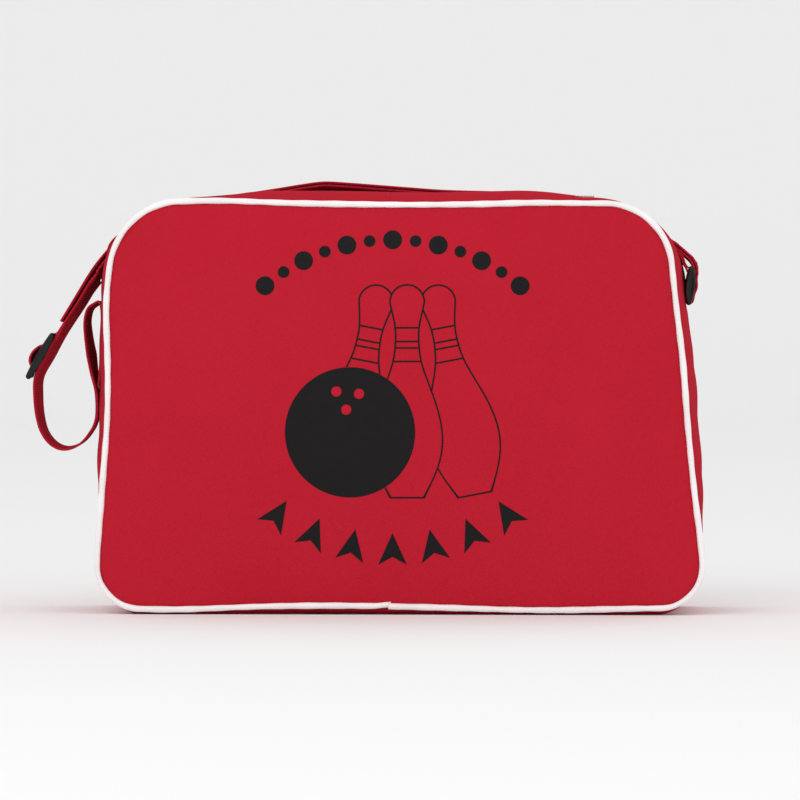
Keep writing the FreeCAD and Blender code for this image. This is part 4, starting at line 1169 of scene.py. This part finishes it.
def stitch_row(name, line, out, pitch=3.2, length=2.3, thread=0.28):
    """A row of stitches along a line: each is a capsule bowed over the cloth by its normal."""
    travel = travel_along(line)
    count = max(1, int(travel[-1] / pitch))
    starts = (np.arange(count) + 0.2) * pitch * travel[-1] / (count * pitch)
    inside = np.linspace(0, 1, 5)
    where = starts[:, None] + inside[None] * length
    path = np.stack([np.interp(where, travel, line[:, axis]) for axis in range(3)], axis=2)
    lift = np.stack([np.interp(where, travel, out[:, axis]) for axis in range(3)], axis=2)
    path = path + lift * (thread * 1.5 * np.sin(inside * math.pi)[None, :, None] - 0.05)
    along = path[:, -1] - path[:, 0]
    along /= np.linalg.norm(along, axis=1, keepdims=True)
    side = np.cross(along[:, None, :], lift)
    side /= np.linalg.norm(side, axis=2, keepdims=True)
    angles = np.linspace(0, 2 * math.pi, 6, endpoint=False)
    girth = thread * np.array([0.35, 0.9, 1.0, 0.9, 0.35])
    ring = np.cos(angles)[None, None, :, None] * side[:, :, None, :]
    ring = ring + np.sin(angles)[None, None, :, None] * lift[:, :, None, :]
    points = path[:, :, None, :] + girth[None, :, None, None] * ring
    number = np.arange(count * 5 * 6).reshape(count, 5, 6)
    following = np.roll(number, -1, axis=2)
    corners = [number[:, :-1], following[:, :-1], following[:, 1:], number[:, 1:]]
    quads = np.stack(corners, axis=-1).reshape(-1, 4)
    caps = np.concatenate([number[:, 0, ::-1], number[:, -1]])
    mesh = smooth_mesh(name, points, quads.tolist() + caps.tolist())
    return close_up(new_object(name, mesh), 0.0001)


STITCH_DEPTHS = (LIP_EDGE + 1.8, LIP_EDGE + 8.4)


def make_stitching():
    """Two rows of topstitching on each side of the zip."""
    for lip, sign in (("front", -1), ("rear", 1)):
        for side, start, stop in HALVES:
            rows = []
            for number, depth in enumerate(STITCH_DEPTHS):
                x = np.linspace(start + 1, stop - 0.3, SEAM_STEPS)
                line = np.stack([x, np.full(SEAM_STEPS, sign * depth), top_height(x, sign * depth)], 1)
                up = np.tile((0.0, 0.0, 1.0), (SEAM_STEPS, 1))
                rows.append(stitch_row(f"row_{number}", line, up))
            piece = join_meshes(f"{lip}_zip_stitches_{side}", rows)
            settle(piece, THREAD)
            blend_half(piece)


# ---- carried-over nodes


# The slider's top plate, the share of its bridge's height that is kept, and how far the puller sinks.
SLIDER_PLATE = 276.4
BRIDGE_SHARE = 0.1
PULLER_DROP = 1.5


def make_slider():
    """Slider and puller: copies of the frame's own, merged, with a low bridge and softened edges."""
    for name in ("zip_slider", "zip_puller"):
        work = merged_work(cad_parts[name].data, 0.001)
        bmesh.ops.dissolve_limit(work, angle_limit=math.radians(2), verts=work.verts, edges=work.edges)
        mesh = end_work(work, bpy.data.meshes.new(name + "_casting"))
        places = read_places(mesh)
        if name == "zip_slider":
            places[:, 2] -= np.clip(places[:, 2] - SLIDER_PLATE, 0, None) * (1 - BRIDGE_SHARE)
        else:
            places[:, 2] -= PULLER_DROP
        write_places(mesh, places)
        casting = new_object(name + "_casting", mesh)
        soft = casting.modifiers.new("Soft edges", "BEVEL")
        soft.width = 0.18 * MM
        soft.segments = 2
        soft.limit_method = "ANGLE"
        settle(casting, NICKEL, name, (name,))


def dress_nodes():
    """Materials for the frame nodes whose own shape is right."""
    finishes = {"base_board": BOARD, "zip_open_stop": NICKEL, "zip_closed_stops": NICKEL}
    for name, material in finishes.items():
        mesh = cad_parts[name].data
        mesh.materials.clear()
        mesh.materials.append(material)


# ---- camera, floor and light


def make_camera():
    """A long lens four metres away, a little to the right and a little above."""
    azimuth, elevation, distance = math.radians(2.0), math.radians(1.5), 4.0
    panel_middle = (0.0, -0.060, 0.1424)
    aim = Vector(panel_middle)
    flat = math.cos(elevation)
    away = Vector((math.sin(azimuth) * flat, -math.cos(azimuth) * flat, math.sin(elevation)))
    data = bpy.data.cameras.new("camera")
    data.sensor_width = 36.0
    data.lens = 273.0
    data.clip_end = 50.0
    camera = new_object("camera", data)
    camera.location = aim + away * distance
    camera.rotation_euler = away.to_track_quat("Z", "Y").to_euler()
    bpy.context.scene.camera = camera


def make_floor():
    """A pale seamless sweep: flat floor, a large bend, and a wall behind."""
    radius, back, front, width = 1500.0, 4200.0, -6500.0, 7000.0
    bend = np.linspace(0, math.pi / 2, 24)
    depth = np.concatenate([[front, 0.0], back + radius * np.sin(bend), [back + radius]])
    height = np.concatenate([[0.0, 0.0], radius * (1 - np.cos(bend)), [6000.0]])
    across = np.linspace(-width, width, 3)
    grid = np.array([np.stack([across, np.full(3, y), np.full(3, z)], 1) for y, z in zip(depth, height)])
    floor = surface("floor", grid, flip=False)
    material, tree, _ = start_material("floor_paint")
    matt = {"Base Color": tone("#F6F6F6"), "Roughness": 0.95, "Specular IOR Level": 0.0}
    add(tree, "OutputMaterial", {"Surface": add(tree, "BsdfPrincipled", matt).outputs[0]})
    floor.data.materials.append(material)


def add_light(name, place, aim, size, power):
    """A square area light at a place, turned to its aim."""
    data = bpy.data.lights.new(name, "AREA")
    data.size = size
    data.energy = power
    light = new_object(name, data)
    light.location = place
    direction = Vector(place) - Vector(aim)
    light.rotation_euler = direction.to_track_quat("Z", "Y").to_euler()


def make_light():
    """Even pale surroundings, with a large soft key from the upper front left and a weak fill."""
    world = bpy.data.worlds.new("studio")
    world.use_nodes = True
    background = world.node_tree.nodes["Background"]
    background.inputs["Color"].default_value = tone("#FFFFFF")
    background.inputs["Strength"].default_value = 0.9
    bpy.context.scene.world = world
    middle = (0.0, 0.0, 0.15)
    add_light("key", (-1.1, -2.4, 2.2), middle, 1.8, 15.0)
    add_light("fill", (2.2, -2.2, 1.0), middle, 1.6, 5.0)


bpy.context.scene.view_settings.view_transform = "Standard"
make_camera()
make_floor()
make_light()
make_gusset()
make_top_strips()
make_piping()
make_binding()
make_panels()
make_linings()
make_print()
make_straps()
make_ring_webbing()
make_sewn_end()
make_fittings()
make_zip()
make_stitching()
make_slider()
dress_nodes()
